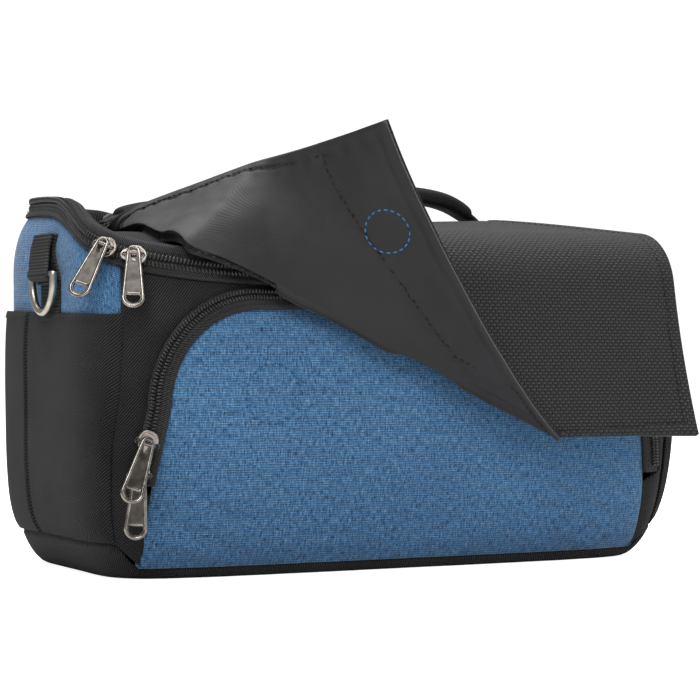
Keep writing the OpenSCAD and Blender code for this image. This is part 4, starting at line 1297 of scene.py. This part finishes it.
def pull(k, name):
    """Tapered zip pull: rolled rim, sunk plain panel, loop for the bridge and a D-shaped window."""
    place = placer(k, True)
    piece = Piece()
    top, end = 2.4, 4.4
    end_z = end + 2.2 - PULL
    edge = arc(0, top, 170, 10, 14) + arc(end_z, end, -8, -172, 24)
    dense = []
    for p, q in zip(np.array(edge), np.roll(edge, -1, 0)):
        steps = max(int(np.linalg.norm(q - p) / 0.7), 1)
        dense += [p + (q - p) * i / steps for i in range(steps)]
    x, z = np.transpose(dense)
    outward = facing(place, [0, -1.0, 0])
    piece.tube(place(np.stack([x, np.zeros_like(x), z], -1)), 0.85, 10, 0, closed=True, up=outward)
    window_z = end_z + 1.6
    eye = arc(0, 1.55, -10, 190, 16) + [(-0.7, -4.6), (0, -5.4), (0.7, -4.6)]
    window = arc(end_z, end - 1.3, -180, 0, 20) + [(end - 1.5, window_z), (1.5 - end, window_z)]
    piece.plate([[(0.99 * x, z) for x, z in edge], eye, window], -0.5, 0.5, 0.12, place, 1)
    bar = np.stack([np.linspace(1.1 - end, end - 1.1, 8), np.zeros(8), np.full(8, window_z)], -1)
    piece.tube(place(bar), 0.8, 10, 0, up=outward)
    piece.build("pull_tab_" + name, "pull_" + name, [GUN, DARK_GUN], ["pull_" + name], "zip_metal")


# ---------------------------------------------------------------- inside
def inside():
    """Lining tray, padded dividers and foam boards."""
    piece = Piece()
    low, high = (np.array(c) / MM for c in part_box("lining"))
    r, n = 18.0, 10

    def loop(inset):
        t = np.radians(np.concatenate([np.linspace(start, start + 90, n) for start in (0, 90, 180, 270)]))
        right, rear = np.repeat([1, 0, 0, 1], n), np.repeat([1, 1, 0, 0], n)
        x = np.where(right, high[0] - r, low[0] + r) + (r - inset) * np.cos(t)
        y = np.where(rear, high[1] - r, low[1] + r) + (r - inset) * np.sin(t)
        return np.stack([x, y], -1)

    floor, top = low[2], high[2]
    rows = [(9.0, floor + 1.2), (2.4, floor + 1.8), (1.0, floor + 4), (1.0, 60.0), (1.0, 100.0),
            (1.0, top - 0.6), (0.4, top), (0.0, top - 0.6), (0.0, floor + 3), (1.6, floor + 0.6),
            (8.0, floor)]
    grid = np.stack([np.concatenate([loop(i), np.full((4 * n, 1), z)], 1) for i, z in rows], 1)
    piece.grid(grid, 0, closed=(True, False))
    m = len(rows)
    piece.faces.append([i * m for i in range(4 * n)])
    piece.faces.append([i * m + m - 1 for i in range(4 * n)][::-1])
    piece.slots.extend([0, 0])
    piece.build("lining_fabric", "shell", [GREY_CLOTH], ["lining"], "lining")
    for name in ("divider_left", "divider_right"):
        pad(name, name + "_padded", name, GREY_CLOTH, "lining", 1.0)
    for name in ("foam_front", "foam_back", "foam_left", "foam_right", "base_pad"):
        pad(name, name + "_board", "shell", FOAM, "foam", 0.15)


def pad(node, name, body, material, slot, puff):
    """Padded board that fills a CAD board's box, crowned on its broad faces."""
    low, high = (np.array(c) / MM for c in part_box(node))
    centre, half = (low + high) / 2, (high - low) / 2
    thin = int(np.argmin(half))
    u, v = [k for k in range(3) if k != thin]
    n = 26
    s = np.sin(np.linspace(-math.pi / 2, math.pi / 2, n))
    a, b = np.meshgrid(s, s, indexing="ij")
    shape = ((1 - np.abs(a) ** 10) * (1 - np.abs(b) ** 10)) ** 0.35
    deep = half[thin] * (1 - 0.35 * (1 - shape)) * shape ** 0.3
    piece = Piece()
    flip = -1 if thin == 1 else 1
    for side in (-1, 1):
        g = np.zeros((n, n, 3))
        g[..., u], g[..., v] = centre[u] + half[u] * a, centre[v] + half[v] * b
        g[..., thin] = centre[thin] + side * deep
        if side * flip < 0:
            g = g[::-1]
        piece.grid(g, 0, uv=g[..., [u, v]])
    loop = border(n, n)

    def vertex(side, i, j):
        if (2 * side - 1) * flip < 0:
            i = n - 1 - i
        return (side * n + i) * n + j

    for (i, j), (i2, j2) in zip(loop, loop[1:] + loop[:1]):
        quad = [vertex(0, i, j), vertex(0, i2, j2), vertex(1, i2, j2), vertex(1, i, j)]
        piece.faces.append(quad if flip > 0 else quad[::-1])
        piece.slots.append(0)
    piece.build(name, body, [material], [node], slot, sub=1)


def keep_node(name, material):
    """Gives a CAD node that keeps its own shape a finished material."""
    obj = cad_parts[name]
    obj.data.materials.clear()
    obj.data.materials.append(material)


# ---------------------------------------------------------------- studio
WORLD_LIGHT = 0.24        # light from all round; the backdrop itself is seen as white
FLOOR_GLOW = 0.9          # the same for the floor


def studio():
    """Camera at the picture's viewing angle, pale floor, white backdrop and three soft lights."""
    camera_data = bpy.data.cameras.new("camera")
    camera = bpy.data.objects.new("camera", camera_data)
    bpy.context.scene.collection.objects.link(camera)
    turn = math.radians(26.9)
    distance, shift, height = 1132.8, 5.96, 102.8
    camera.location = ((-math.sin(turn) * distance + shift * math.cos(turn)) * MM,
                       (-math.cos(turn) * distance - shift * math.sin(turn)) * MM, height * MM)
    camera.rotation_euler = (math.pi / 2, 0, -turn)
    camera_data.sensor_width = 36.0
    camera_data.lens = 117.55
    camera_data.clip_start = 0.05
    bpy.context.scene.camera = camera

    floor_mesh = bpy.data.meshes.new("floor")
    r = 6.0
    floor_mesh.from_pydata([(-r, -r, 0), (r, -r, 0), (r, r, 0), (-r, r, 0)], [], [(0, 1, 2, 3)])
    floor = bpy.data.objects.new("floor", floor_mesh)
    bpy.context.scene.collection.objects.link(floor)
    s = Shader("floor")
    place = s.node("TexCoord").outputs["Object"]
    grain = s.node("TexNoise", {"Vector": place, "Scale": 3.0}).outputs[0]
    s.set(color=s.ramp(grain, [(0.3, (0.88, 0.88, 0.88)), (0.7, (0.91, 0.91, 0.91))]), rough=0.9, spec=0.1)
    seen = s.node("LightPath").outputs["Is Camera Ray"]
    s.bsdf.inputs["Emission Color"].default_value = (1, 1, 1, 1)
    s.tree.links.new(s.scaled(seen, FLOOR_GLOW), s.bsdf.inputs["Emission Strength"])
    floor_mesh.materials.append(s.material)

    world = bpy.data.worlds.new("studio")
    world.use_nodes = True
    tree = world.node_tree
    background = tree.nodes["Background"]
    background.inputs[0].default_value = (1, 1, 1, 1)
    sight = tree.nodes.new("ShaderNodeLightPath")
    level = tree.nodes.new("ShaderNodeMapRange")
    level.inputs[3].default_value = WORLD_LIGHT
    level.inputs[4].default_value = 1.1
    tree.links.new(sight.outputs["Is Camera Ray"], level.inputs[0])
    tree.links.new(level.outputs[0], background.inputs[1])
    bpy.context.scene.world = world
    scene = bpy.context.scene
    scene.view_settings.view_transform = "Standard"

    lamps = (("key", (-0.9, -1.1, 1.5), 0.9, 17.0), ("fill", (1.5, -1.2, 0.9), 1.2, 7.0),
             ("top", (0.1, 0.5, 1.7), 1.2, 30.0))
    for name, place, size, power in lamps:
        data = bpy.data.lights.new(name, "AREA")
        data.size = size
        data.energy = power
        light = bpy.data.objects.new(name, data)
        light.location = place
        light.rotation_euler = (Vector((0, 0, 0.1)) - Vector(place)).to_track_quat("-Z", "Y").to_euler()
        scene.collection.objects.link(light)


# ---------------------------------------------------------------- the whole bag
base()
back_panel()
front_frame()
pocket_face()
for sign in (-1, 1):
    side_panel(sign)
    side_pocket(sign)
    lug(sign)
lid_zip()
pocket_zip()
lid()
handle()
flap_binding()
flap()
for number, label in enumerate(("lid_side", "lid_front", "pocket_upper", "pocket_lower")):
    slider(number, label)
    pull(number, label)
inside()
for ring_name in ("d_ring_left", "d_ring_right"):
    keep_node(ring_name, NICKEL)
keep_node("panel_magnets", GUN)
keep_node("flap_magnets", GUN)
keep_node("pocket_lining", GREY_CLOTH)
studio()
